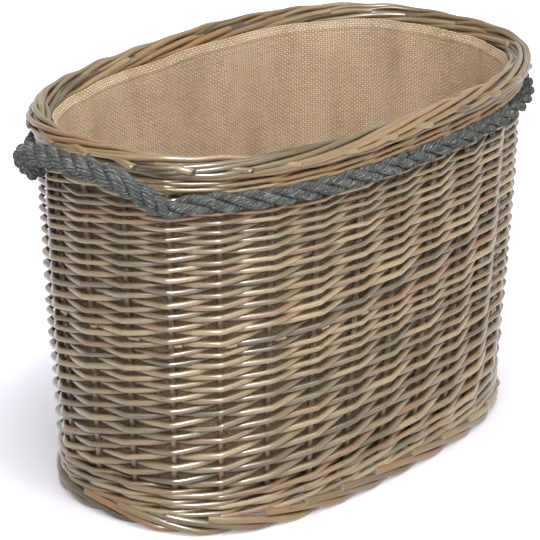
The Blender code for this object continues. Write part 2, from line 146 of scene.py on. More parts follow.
class Oval:
    """A superellipse whose points are found by their share of the way round it."""

    def __init__(self, half_length: float, half_width: float, exponent: float) -> None:
        """Work out the outline and how far round it each point lies.

        Args:
            half_length: Half its size along X.
            half_width: Half its size along Y.
            exponent: 2 for an ellipse, and more for fuller corners.
        """
        angle = np.linspace(0.0, math.tau, OVAL_SAMPLES + 1)
        across = np.cos(angle)
        up = np.sin(angle)
        self.x = half_length * np.sign(across) * np.abs(across) ** (2 / exponent)
        self.y = half_width * np.sign(up) * np.abs(up) ** (2 / exponent)
        length = run_length(np.stack([self.x, self.y], 1))
        self.perimeter = float(length[-1])
        self.shares = length / self.perimeter

    def at(self, share: np.ndarray) -> np.ndarray:
        """Find level points on the outline.

        Args:
            share: Shares of the perimeter.

        Returns:
            One point a share, at height 0.
        """
        share = np.mod(share, 1.0)
        x = np.interp(share, self.shares, self.x)
        y = np.interp(share, self.shares, self.y)
        return np.stack([x, y, np.zeros_like(x)], -1)

    def outward(self, share: np.ndarray) -> np.ndarray:
        """Return level outward directions at shares of the perimeter."""
        along = self.at(share + OUTWARD_STEP) - self.at(share - OUTWARD_STEP)
        return unit(np.stack([along[..., 1], -along[..., 0], np.zeros_like(along[..., 0])], -1))


@dataclass
class BasketShape:
    """The leaning oval wall that every rod follows, in the sizes of the frame's solids."""

    border_length: float = 0.626
    border_width: float = 0.402
    height: float = 0.427
    border_thickness: float = 0.026
    border_exponent: float = 2.63
    foot_exponent: float = 2.80
    wall_inset: float = 0.008
    end_taper: float = 0.019
    side_taper: float = 0.027
    stake_count: int = 28
    stake_bunching: float = 0.06
    stake_diameter: float = 0.0075
    weaver_thickness: float = 0.0065
    top_oval: Oval = field(init=False)
    foot_oval: Oval = field(init=False)
    border_oval: Oval = field(init=False)

    def __post_init__(self) -> None:
        """Work out the three ovals."""
        half_length = self.border_length / 2
        half_width = self.border_width / 2
        inset = self.wall_inset
        radius = self.border_thickness / 2
        self.top_oval = Oval(half_length - inset, half_width - inset, self.border_exponent)
        self.foot_oval = Oval(
            half_length - inset - self.end_taper,
            half_width - inset - self.side_taper,
            self.foot_exponent,
        )
        self.border_oval = Oval(half_length - radius, half_width - radius, self.border_exponent)

    @property
    def stake_offset(self) -> float:
        """Return where the stakes' middles stand, inwards from the wall's outer face."""
        return -self.weaver_thickness - self.stake_diameter / 2

    @property
    def inner_offset(self) -> float:
        """Return where the weave's inner face lies."""
        return -2 * self.weaver_thickness - self.stake_diameter

    def outward(self, share: np.ndarray, height: np.ndarray) -> np.ndarray:
        """Return the level outward directions on the wall."""
        rise = np.expand_dims(np.asarray(height) / self.height, -1)
        return unit(self.foot_oval.outward(share) * (1 - rise) + self.top_oval.outward(share) * rise)

    def point(self, share: np.ndarray, height: np.ndarray, offset: np.ndarray) -> np.ndarray:
        """Return points on the leaning wall.

        Args:
            share: Shares of the way round.
            height: Heights above the floor.
            offset: Distances outwards from the wall's outer face at the stakes.

        Returns:
            One point a row.
        """
        share, height, offset = np.broadcast_arrays(share, height, offset)
        share = share.astype(float)
        rise = np.expand_dims(height / self.height, -1)
        level = self.foot_oval.at(share) * (1 - rise) + self.top_oval.at(share) * rise
        point = level + self.outward(share, height) * np.expand_dims(offset, -1)
        point[..., 2] = height
        return point

    def bay_share(self, bay: np.ndarray) -> np.ndarray:
        """Return the share round the wall of places counted in bays."""
        even = np.asarray(bay, float) / self.stake_count
        return even - self.stake_bunching / (2 * math.tau) * np.sin(2 * math.tau * even)


@dataclass
class Rod:
    """One rod: its centre line, its radius along it and its look."""

    points: np.ndarray
    radii: np.ndarray
    tone: float
    warmth: float
    # Painted shade along the rod, from 0 for none to 1 for full.
    recess_shade: np.ndarray | float = 0.0


class RodSweep:
    """The node tree that turns centre lines into rods, and the meshes made with it."""

    NAME = "rod_sweep"
    CUT_FACING = 0.75
    GRAIN_SHIFT = 10

    def __init__(self) -> None:
        """Build the tree once for every piece."""
        tree = bpy.data.node_groups.new(self.NAME, "GeometryNodeTree")
        faces = tree.interface
        faces.new_socket("Centre Lines", in_out="INPUT", socket_type="NodeSocketGeometry")
        self.sides = faces.new_socket("Sides", in_out="INPUT", socket_type="NodeSocketInt").identifier
        self.swell = faces.new_socket("Swell", in_out="INPUT", socket_type="NodeSocketFloat").identifier
        self.finish = faces.new_socket("Finish", in_out="INPUT", socket_type="NodeSocketMaterial").identifier
        faces.new_socket("Rods", in_out="OUTPUT", socket_type="NodeSocketGeometry")
        self.tree = tree
        self._wire()

    def _named(self, name: str, kind: str) -> Socket:
        """Read a named attribute.

        Args:
            name: The attribute's name.
            kind: Its data type.

        Returns:
            The socket with its values.
        """
        node = self.tree.nodes.new("GeometryNodeInputNamedAttribute")
        node.data_type = kind
        node.inputs["Name"].default_value = name
        return node.outputs["Attribute"]

    def _store(self, geometry: Socket, name: str, kind: str, value: Socket, domain: str = "POINT") -> Socket:
        """Store a named attribute.

        Args:
            geometry: What gets it.
            name: The attribute's name.
            kind: Its data type.
            value: The socket with its values.
            domain: Points or faces.

        Returns:
            The geometry with the attribute on it.
        """
        node = self.tree.nodes.new("GeometryNodeStoreNamedAttribute")
        node.data_type = kind
        node.domain = domain
        node.inputs["Name"].default_value = name
        self.tree.links.new(geometry, node.inputs["Geometry"])
        self.tree.links.new(value, node.inputs["Value"])
        return node.outputs["Geometry"]

    def _vector_math(self, operation: str, first: Socket, second: Socket) -> bpy.types.Node:
        """Add a vector math node.

        Args:
            operation: What it does.
            first: Its first vector.
            second: Its second vector, or the number that it scales by.

        Returns:
            The node.
        """
        node = self.tree.nodes.new("ShaderNodeVectorMath")
        node.operation = operation
        self.tree.links.new(first, node.inputs[0])
        self.tree.links.new(second, node.inputs["Scale"] if operation == "SCALE" else node.inputs[1])
        return node

    def _wire(self) -> None:
        """Sweep a round profile along each line, with its grain and its cut ends marked."""
        nodes = self.tree.nodes
        links = self.tree.links
        given = nodes.new("NodeGroupInput")
        to_curve = nodes.new("GeometryNodeMeshToCurve")
        links.new(given.outputs["Centre Lines"], to_curve.inputs["Mesh"])
        tangent = nodes.new("GeometryNodeInputTangent")
        curve = to_curve.outputs["Curve"]
        lines = self._store(curve, "axis", "FLOAT_VECTOR", tangent.outputs["Tangent"])
        circle = nodes.new("GeometryNodeCurvePrimitiveCircle")
        circle.inputs["Radius"].default_value = 1.0
        links.new(given.outputs["Sides"], circle.inputs["Resolution"])
        position = nodes.new("GeometryNodeInputPosition")
        ring = circle.outputs["Curve"]
        profile = self._store(ring, "section", "FLOAT_VECTOR", position.outputs["Position"])
        swollen = nodes.new("ShaderNodeMath")
        swollen.operation = "MULTIPLY"
        links.new(self._named(Domain.GIRTH.value, "FLOAT"), swollen.inputs[0])
        links.new(given.outputs["Swell"], swollen.inputs[1])
        sweep = nodes.new("GeometryNodeCurveToMesh")
        sweep.inputs["Fill Caps"].default_value = True
        links.new(lines, sweep.inputs["Curve"])
        links.new(profile, sweep.inputs["Profile Curve"])
        links.new(swollen.outputs["Value"], sweep.inputs["Scale"])
        across = self._vector_math(
            "SCALE", self._named("section", "FLOAT_VECTOR"), self._named(Domain.GIRTH.value, "FLOAT")
        )
        lengthwise = nodes.new("ShaderNodeCombineXYZ")
        links.new(self._named(Domain.ALONG.value, "FLOAT"), lengthwise.inputs["Z"])
        grain = self._vector_math("ADD", across.outputs["Vector"], lengthwise.outputs["Vector"])
        grained = self._store(sweep.outputs["Mesh"], "grain", "FLOAT_VECTOR", grain.outputs["Vector"])
        normal = nodes.new("GeometryNodeInputNormal")
        axis = self._named("axis", "FLOAT_VECTOR")
        facing = self._vector_math("DOT_PRODUCT", normal.outputs["Normal"], axis)
        straight = nodes.new("ShaderNodeMath")
        straight.operation = "ABSOLUTE"
        links.new(facing.outputs["Value"], straight.inputs[0])
        is_cut = nodes.new("ShaderNodeMath")
        is_cut.operation = "GREATER_THAN"
        is_cut.inputs[1].default_value = self.CUT_FACING
        links.new(straight.outputs["Value"], is_cut.inputs[0])
        marked = self._store(grained, "cut", "FLOAT", is_cut.outputs["Value"], "FACE")
        smooth = nodes.new("GeometryNodeSetShadeSmooth")
        links.new(marked, smooth.inputs["Geometry"])
        realized = nodes.new("GeometryNodeRealizeInstances")
        links.new(smooth.outputs["Geometry"], realized.inputs["Geometry"])
        painted = nodes.new("GeometryNodeSetMaterial")
        links.new(realized.outputs["Geometry"], painted.inputs["Geometry"])
        links.new(given.outputs["Finish"], painted.inputs["Material"])
        result = nodes.new("NodeGroupOutput")
        links.new(painted.outputs["Geometry"], result.inputs["Rods"])

    def lay(self, name: str, rods: list[Rod], finish: bpy.types.Material, sides: int = 10,
            swell: float = 1.0) -> bpy.types.Object:
        """Make one piece out of many rods.

        Args:
            name: The piece's name.
            rods: The rods that it is made of.
            finish: Their material.
            sides: How many sides a rod has.
            swell: What every radius is multiplied by.

        Returns:
            The piece, a plain mesh.
        """
        points = np.concatenate([rod.points for rod in rods])
        values = {kind: [] for kind in Domain}
        edges = []
        start = 0
        for rod in rods:
            count = len(rod.points)
            span = np.arange(start, start + count - 1)
            edges.append(np.stack([span, span + 1], 1))
            values[Domain.GIRTH].append(rod.radii)
            values[Domain.ALONG].append(run_length(rod.points) + self.GRAIN_SHIFT * rod.tone)
            values[Domain.TONE].append(np.full(count, rod.tone))
            values[Domain.WARMTH].append(np.full(count, rod.warmth))
            values[Domain.RECESS_SHADE].append(np.broadcast_to(rod.recess_shade, count))
            start += count
        mesh = bpy.data.meshes.new(name + "_lines")
        mesh.from_pydata(points.tolist(), np.concatenate(edges).tolist(), [])
        for kind, parts in values.items():
            layer = mesh.attributes.new(kind.value, "FLOAT", "POINT")
            layer.data.foreach_set("value", np.concatenate(parts).astype(np.float32))
        carrier = bpy.data.objects.new(name + "_lines", mesh)
        bpy.context.scene.collection.objects.link(carrier)
        modifier = carrier.modifiers.new(self.NAME, "NODES")
        modifier.node_group = self.tree
        modifier[self.sides] = sides
        modifier[self.swell] = swell
        modifier[self.finish] = finish
        return freeze(carrier, name)


def freeze(carrier: bpy.types.Object, name: str) -> bpy.types.Object:
    """Turn an object with a node modifier into a plain mesh object.

    Args:
        carrier: The object, which is removed.
        name: The new piece's name.

    Returns:
        The new piece.
    """
    graph = bpy.context.evaluated_depsgraph_get()
    graph.update()
    mesh = bpy.data.meshes.new_from_object(carrier.evaluated_get(graph))
    mesh.name = name
    piece = bpy.data.objects.new(name, mesh)
    bpy.context.scene.collection.objects.link(piece)
    bpy.data.objects.remove(carrier)
    return piece


def declare(piece: bpy.types.Object, replaced: list[str]) -> None:
    """Hide the frame's nodes that a finished piece stands for, and report it.

    Args:
        piece: The piece.
        replaced: The frame's nodes that it stands for.
    """
    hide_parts(*replaced)
    LOG.info("%s: %d faces, stands for %s", piece.name, len(piece.data.polygons), ", ".join(replaced))


def settle(piece: bpy.types.Object, replaced: list[str]) -> None:
    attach(piece, BASKET)
    declare(piece, replaced)


class Shader:
    """A procedural material that is put together socket by socket."""

    COLOUR_INPUTS = (6, 7)
    COLOUR_OUTPUT = 2

    def __init__(self, name: str, roughness: float) -> None:
        """Start a material with a Principled shader.

        Args:
            name: The material's name.
            roughness: How rough it is.
        """
        self.material = bpy.data.materials.new(name)
        self.material.use_nodes = True
        self.tree = self.material.node_tree
        self.surface = self.tree.nodes["Principled BSDF"]
        self.surface.inputs["Roughness"].default_value = roughness

    def node(self, kind: str, **settings: object) -> bpy.types.Node:
        """Add a node.

        Args:
            kind: The node's type.
            settings: What its properties are set to.

        Returns:
            The node.
        """
        node = self.tree.nodes.new(kind)
        for key, value in settings.items():
            setattr(node, key, value)
        return node

    def link(self, source: object, target: Socket) -> None:
        """Join a socket to an input, or set the input to a plain value.

        Args:
            source: The socket or the value.
            target: The input.
        """
        if isinstance(source, Socket):
            self.tree.links.new(source, target)
        else:
            target.default_value = source

    def attribute(self, name: str, output: str = "Fac") -> Socket:
        """Read an attribute of the mesh."""
        return self.node("ShaderNodeAttribute", attribute_name=name).outputs[output]

    def math(self, operation: str, first: object, second: object = 0.0, third: object = 0.0,
             clamp: bool = False) -> Socket:
        """Do a sum on up to three values.

        Args:
            operation: The sum.
            first: Its first value, a socket or a number.
            second: Its second.
            third: Its third.
            clamp: Whether the result stays from 0 to 1.

        Returns:
            The socket with the result.
        """
        node = self.node("ShaderNodeMath", operation=operation, use_clamp=clamp)
        for source, target in zip((first, second, third), node.inputs):
            self.link(source, target)
        return node.outputs["Value"]

    def swing(self, value: Socket, size: float) -> Socket:
        """Turn a value from 0 to 1 into a swing to both sides of zero."""
        return self.math("MULTIPLY_ADD", value, size, -size / 2)

    def scaled(self, vector: Socket, scale: Scale) -> Socket:
        """Multiply a vector's parts.

        Args:
            vector: The vector.
            scale: What each part is multiplied by.

        Returns:
            The socket with the result.
        """
        node = self.node("ShaderNodeVectorMath", operation="MULTIPLY")
        self.link(vector, node.inputs[0])
        node.inputs[1].default_value = scale
        return node.outputs["Vector"]

    def noise(self, vector: Socket, scale: float = 1.0, detail: float = 2.0, rough: float = 0.5) -> Socket:
        """Make soft noise.

        Args:
            vector: Where it is read.
            scale: How fine it is.
            detail: How many finer layers it has.
            rough: How much the finer layers count.

        Returns:
            A value from about 0.2 to 0.8.
        """
        node = self.node("ShaderNodeTexNoise")
        self.link(vector, node.inputs["Vector"])
        node.inputs["Scale"].default_value = scale
        node.inputs["Detail"].default_value = detail
        node.inputs["Roughness"].default_value = rough
        return node.outputs["Fac"]

    def spots(self, vector: Socket) -> Socket:
        """Scatter points, one to a unit of length.

        Args:
            vector: Where they are read.

        Returns:
            The distance to the nearest point.
        """
        node = self.node("ShaderNodeTexVoronoi")
        self.link(vector, node.inputs["Vector"])
        node.inputs["Scale"].default_value = 1.0
        return node.outputs["Distance"]

    def between(self, value: object, edges: Range) -> Socket:
        """Rise smoothly from one edge to another.

        Args:
            value: The value that is compared with the edges.
            edges: The lower edge and the higher one.

        Returns:
            0 below the lower edge, 1 above the higher one, and what lies between.
        """
        node = self.node("ShaderNodeMapRange", interpolation_type="SMOOTHSTEP")
        self.link(value, node.inputs["Value"])
        node.inputs["From Min"].default_value = edges[0]
        node.inputs["From Max"].default_value = edges[1]
        return node.outputs["Result"]

    def mix(self, factor: object, first: object, second: object) -> Socket:
        """Mix two colours.

        Args:
            factor: The share of the second.
            first: The first colour, a socket or three parts.
            second: The second colour.

        Returns:
            The mixed colour.
        """
        node = self.node("ShaderNodeMix", data_type="RGBA")
        self.link(factor, node.inputs["Factor"])
        for source, index in zip((first, second), self.COLOUR_INPUTS):
            if isinstance(source, tuple):
                source = (*source, 1.0)
            self.link(source, node.inputs[index])
        return node.outputs[self.COLOUR_OUTPUT]

    def finish(self, colour: object, roughness: object, height: object, depth: float,
               strength: float) -> bpy.types.Material:
        """Join the colour, the roughness and a bump of a real depth to the shader.

        Args:
            colour: The base colour.
            roughness: The roughness.
            height: The bump's height, from 0 to 1.
            depth: How deep a height of 1 is, in metres.
            strength: How much of the bump shows.

        Returns:
            The finished material.
        """
        self.link(colour, self.surface.inputs["Base Color"])
        self.link(roughness, self.surface.inputs["Roughness"])
        bump = self.node("ShaderNodeBump")
        bump.inputs["Strength"].default_value = strength
        bump.inputs["Distance"].default_value = depth
        self.link(height, bump.inputs["Height"])
        self.link(bump.outputs["Normal"], self.surface.inputs["Normal"])
        return self.material


@dataclass(frozen=True)
class WillowFinish:
    """Stained and waxed willow rods, with grain, bud scars, pale cut ends, and painted shade where they lie
    deep in the weave.
    """

    name: str
    pale: Colour = paint(178, 156, 116)
    deep: Colour = paint(90, 80, 50)
    warm: Colour = paint(150, 106, 72)
    # The colour of the painted shade where a rod lies deep in the weave.
    hollow_shade: Colour = paint(84, 64, 50)
    scar: Colour = paint(70, 52, 36)
    cut_face: Colour = paint(202, 184, 156)
    # Cut faces take this dark colour where the painted shade is high.
    dark_cut: Colour = paint(54, 58, 56)
    gloss: float = 0.36
    gloss_drop: float = 0.12
    gloss_swing: float = 0.25
    cut_roughness: float = 0.4
    hollow_shade_share: float = 0.88
    wax: float = 0.9
    wax_ior: float = 1.5
    wax_roughness: float = 0.26
    streak_scale: Scale = (900.0, 900.0, 22.0)
    streak_detail: float = 3.0
    streak_roughness: float = 0.6
    streak_swing: float = 0.7
    mottle_scale: Scale = (120.0, 120.0, 16.0)
    mottle_swing: float = 0.9
    scar_scale: Scale = (130.0, 130.0, 32.0)
    scar_edges: Range = (0.05, 0.13)
    scar_share: float = 0.7
    scar_dent: float = 0.6
    ring_scale: Scale = (700.0, 700.0, 0.0)
    ring_edges: Range = (0.35, 0.65)
    ring_share: float = 0.35
    dark_cut_edges: Range = (0.2, 0.8)
    bump_depth: float = 0.0004
    bump_strength: float = 0.6

    def material(self) -> bpy.types.Material:
        """Build the material.

        Returns:
            The finished material.
        """
        shader = Shader(self.name, self.gloss)
        grain = shader.attribute("grain", "Vector")
        streak = shader.noise(
            shader.scaled(grain, self.streak_scale), detail=self.streak_detail, rough=self.streak_roughness
        )
        mottle = shader.noise(shader.scaled(grain, self.mottle_scale))
        tone = shader.attribute(Domain.TONE.value)
        shade = shader.math("ADD", tone, shader.swing(mottle, self.mottle_swing))
        shade = shader.math("ADD", shade, shader.swing(streak, self.streak_swing), clamp=True)
        colour = shader.mix(shade, self.pale, self.deep)
        colour = shader.mix(shader.attribute(Domain.WARMTH.value), colour, self.warm)
        scars = shader.spots(shader.scaled(grain, self.scar_scale))
        scarred = shader.math("SUBTRACT", 1.0, shader.between(scars, self.scar_edges))
        colour = shader.mix(shader.math("MULTIPLY", scarred, self.scar_share), colour, self.scar)
        cut = shader.attribute("cut")
        rings = shader.noise(shader.scaled(grain, self.ring_scale))
        face = shader.mix(shader.between(rings, self.ring_edges), self.cut_face, self.scar)
        face = shader.mix(self.ring_share, self.cut_face, face)
        # Painted shade: a rod turns to the shade colour as it lies deeper, and its cut faces turn to the dark
        # cut colour.
        recess_shade = shader.attribute(Domain.RECESS_SHADE.value)
        face = shader.mix(shader.between(recess_shade, self.dark_cut_edges), face, self.dark_cut)
        colour = shader.mix(shader.math("MULTIPLY", recess_shade, self.hollow_shade_share), colour, self.hollow_shade)
        colour = shader.mix(cut, colour, face)
        shader.surface.inputs["Coat Weight"].default_value = self.wax
        shader.surface.inputs["Coat IOR"].default_value = self.wax_ior
        shader.surface.inputs["Coat Roughness"].default_value = self.wax_roughness
        rough = shader.math("MULTIPLY_ADD", streak, self.gloss_swing, self.gloss - self.gloss_drop)
        rough = shader.math("MULTIPLY_ADD", cut, self.cut_roughness, rough)
        height = shader.math("SUBTRACT", streak, shader.math("MULTIPLY", scarred, self.scar_dent))
        return shader.finish(colour, rough, height, self.bump_depth, self.bump_strength)


@dataclass(frozen=True)
class RopeFinish:
    """Grey-green hemp yarn with paler hairs along it."""

    name: str
    dark: Colour = paint(32, 32, 30)
    mid: Colour = paint(83, 88, 84)
    light: Colour = paint(204, 206, 196)
    blue: Colour = paint(66, 70, 78)
    blue_share: float = 0.25
    hair_scale: Scale = (1300.0, 1300.0, 150.0)
    hair_detail: float = 3.0
    hair_roughness: float = 0.65
    hair_edges: Range = (0.52, 0.72)
    patch_scale: Scale = (60.0, 60.0, 24.0)
    patch_share: float = 0.5
    yarn_share: float = 0.55
    shade_edges: Range = (0.15, 0.85)
    roughness: float = 0.85
    bump_depth: float = 0.0006
    bump_strength: float = 0.8

    def material(self) -> bpy.types.Material:
        """Build the material.

        Returns:
            The finished material.
        """
        shader = Shader(self.name, self.roughness)
        grain = shader.attribute("grain", "Vector")
        hairs = shader.noise(
            shader.scaled(grain, self.hair_scale), detail=self.hair_detail, rough=self.hair_roughness
        )
        patches = shader.noise(shader.scaled(grain, self.patch_scale))
        of_yarn = shader.math("MULTIPLY", shader.attribute(Domain.TONE.value), self.yarn_share)
        shade = shader.math("ADD", of_yarn, shader.math("MULTIPLY", patches, self.patch_share))
        colour = shader.mix(shader.between(shade, self.shade_edges), self.dark, self.mid)
        colour = shader.mix(shader.between(hairs, self.hair_edges), colour, self.light)
        bluish = shader.math("MULTIPLY", shader.attribute(Domain.WARMTH.value), self.blue_share)
        colour = shader.mix(bluish, colour, self.blue)
        # Painted shade: the rope turns to the dark colour where a rod carries shade, as the strands' cores do.
        colour = shader.mix(shader.attribute(Domain.RECESS_SHADE.value), colour, self.dark)
        return shader.finish(colour, self.roughness, hairs, self.bump_depth, self.bump_strength)


@dataclass(frozen=True)
class HessianFinish:
    """Plain-woven jute cloth: round threads that pass over and under, with slubs, and painted shade in the
    gaps between the threads.
    """

    name: str
    pale: Colour = paint(232, 207, 172)
    deep: Colour = paint(194, 164, 128)
    # The colour of the painted shade between the threads.
    gap_shade: Colour = paint(124, 94, 68)
    warp_pitch: float = 0.0036
    weft_pitch: float = 0.0023
    slub_scale: float = 90.0
    slub_swing: float = 0.7
    thread_roundness: float = 0.6
    thread_dip: float = 0.45
    drift_stretch: float = 30.0
    drift_scale: float = 1.7
    drift_detail: float = 1.0
    warp_share: float = 0.25
    weft_share: float = 0.45
    over_share: float = 0.24
    under_tone: float = 0.03
    patch_scale: Scale = (15.0, 6.0, 1.0)
    patch_detail: float = 3.0
    patch_swing: float = 0.9
    patch_drop: float = 0.47
    tone_edges: Range = (0.3, 0.75)
    gap_shade_edges: Range = (0.12, 0.62)
    roughness: float = 0.9
    bump_depth: float = 0.0008
    bump_strength: float = 0.9

    def ridge(self, shader: Shader, count: Socket) -> Socket:
        """Return the rounded height across one thread, from the count of threads so far."""
        return shader.math("SINE", shader.math("MULTIPLY", shader.math("FRACT", count), math.pi))

    def thread(self, shader: Shader, own: Socket, crossing: Socket) -> Socket:
        """Return the height of a thread that dips beside the thread it crosses."""
        crown = shader.math("MULTIPLY_ADD", crossing, self.thread_dip, 1 - self.thread_dip)
        return shader.math("MULTIPLY", shader.math("POWER", own, self.thread_roundness), crown)

    def thread_tone(self, shader: Shader, count: Socket, along: Socket, axes: tuple[str, str]) -> Socket:
        """Give each thread a tone of its own, which drifts slowly along the thread.

        Args:
            shader: The material.
            count: The count of threads so far.
            along: The place along the threads, in metres.
            axes: The axis of the count and that of the place.

        Returns:
            The tone, from about 0.2 to 0.8.
        """
        place = shader.node("ShaderNodeCombineXYZ")
        shader.link(shader.math("FLOOR", count), place.inputs[axes[0]])
        shader.link(shader.math("MULTIPLY", along, self.drift_stretch), place.inputs[axes[1]])
        return shader.noise(place.outputs[0], self.drift_scale, self.drift_detail)

    def material(self) -> bpy.types.Material:
        """Build the material.

        Returns:
            The finished material.
        """
        shader = Shader(self.name, self.roughness)
        place = shader.node("ShaderNodeUVMap", uv_map="cloth").outputs["UV"]
        slub = shader.swing(shader.noise(place, self.slub_scale), self.slub_swing)
        parts = shader.node("ShaderNodeSeparateXYZ")
        shader.link(place, parts.inputs[0])
        across = shader.math("ADD", shader.math("MULTIPLY", parts.outputs["X"], 1 / self.warp_pitch), slub)
        up = shader.math("ADD", shader.math("MULTIPLY", parts.outputs["Y"], 1 / self.weft_pitch), slub)
        ridge_across = self.ridge(shader, across)
        ridge_up = self.ridge(shader, up)
        # The warp lies on top in every second cell of the weave, like the dark squares of a chessboard.
        cells = shader.math("ADD", shader.math("FLOOR", across), shader.math("FLOOR", up))
        over = shader.math("GREATER_THAN", shader.math("FRACT", shader.math("MULTIPLY", cells, 0.5)), 0.25)
        under = shader.math("SUBTRACT", 1.0, over)
        warp = shader.math("MULTIPLY", over, self.thread(shader, ridge_across, ridge_up))
        weft = shader.math("MULTIPLY", under, self.thread(shader, ridge_up, ridge_across))
        height = shader.math("ADD", warp, weft)
        warp_tone = self.thread_tone(shader, across, parts.outputs["Y"], ("X", "Y"))
        weft_tone = self.thread_tone(shader, up, parts.outputs["X"], ("Y", "X"))
        tone = shader.math(
            "ADD",
            shader.math("MULTIPLY", warp_tone, self.warp_share),
            shader.math("MULTIPLY", weft_tone, self.weft_share),
        )
        tone = shader.math("ADD", tone, shader.math("MULTIPLY_ADD", over, self.over_share, self.under_tone))
        patch = shader.noise(shader.scaled(place, self.patch_scale), detail=self.patch_detail)
        patched = shader.math("MULTIPLY_ADD", patch, self.patch_swing, -self.patch_drop)
        tone = shader.math("ADD", tone, patched)
        colour = shader.mix(shader.between(tone, self.tone_edges), self.pale, self.deep)
        # Painted shade: the cloth darkens where the threads' height falls, between them.
        gap_shade_share = shader.math("SUBTRACT", 1.0, shader.between(height, self.gap_shade_edges))
        colour = shader.mix(gap_shade_share, colour, self.gap_shade)
        return shader.finish(colour, self.roughness, height, self.bump_depth, self.bump_strength)


@dataclass(frozen=True)
class Drift:
    """How far something wanders along a rod, and over how many points it does so."""

    size: float
    points: int


@dataclass
class Weaver:
    """The hand of the basket maker: how rods vary, from one fixed seed."""

    seed: int
    tone_mean: float = 0.42
    tone_spread: float = 0.30
    little_warmth: Range = (0.0, 0.22)
    much_warmth: Range = (0.4, 0.75)
    dice: np.random.Generator = field(init=False)

    def __post_init__(self) -> None:
        """Start the random draws."""
        self.dice = np.random.default_rng(self.seed)

    def tone(self) -> float:
        """Return a rod's shade, from 0, pale, to 1, deep."""
        return float(np.clip(self.dice.normal(self.tone_mean, self.tone_spread), 0.0, 1.0))

    def warmth(self, share: float) -> float:
        """Draw a rod's warmth: most rods have little.

        Args:
            share: The share of the rods that have much.

        Returns:
            From 0, none, to 1.
        """
        little = self.dice.uniform(*self.little_warmth)
        much = self.dice.uniform(*self.much_warmth)
        return float(much if self.dice.random() < share else little)

    def wander(self, count: int, drift: Drift) -> np.ndarray:
        """Draw a slow random drift along a rod.

        Args:
            count: How many points the rod has.
            drift: How far and how fast it drifts.

        Returns:
            The drift at each point.
        """
        steps = self.dice.normal(0.0, 1.0, count + 2 * drift.points)
        kernel = np.hanning(2 * drift.points + 1)
        slow = np.convolve(steps, kernel / np.sqrt((kernel**2).sum()), "valid")
        return drift.size * slow[:count]


@dataclass
class RoundStroke:
    """The path of a rod that passes outside some stakes and inside one, over and over."""

    outside_stakes: int
    slope: float
    bend: float = 0.05

    @property
    def period(self) -> int:
        """Return how many bays one stroke takes."""
        return self.outside_stakes + 1

    def depth(self, place: np.ndarray) -> np.ndarray:
        """Tell how far a rod has gone in.

        Args:
            place: Places in bays from an inside stake.

        Returns:
            0 where it is outside and 1 where it is inside.
        """
        place = np.mod(place, self.period)
        inward = 1 - np.clip(np.minimum(place, self.period - place), 0.0, 1.0)
        spread = math.hypot(1.0, self.bend) - self.bend
        return 0.5 + (np.hypot(inward, self.bend) - np.hypot(1 - inward, self.bend)) / (2 * spread)

    def rise(self, place: np.ndarray) -> np.ndarray:
        """Tell how high a rod lies: low on coming out, and high before going in.

        Args:
            place: Places in bays from an inside stake.

        Returns:
            The heights against the row's middle.
        """
        place = np.mod(place, self.period)
        last = self.period - 0.5
        outside = (place - self.period / 2) / (last - self.period / 2) * self.slope
        before = self.slope * (1 - 2 * (place - last))
        after = -self.slope * (2 * place)
        level = np.where(place > last, before, outside)
        return np.where(place < 0.5, after, level)


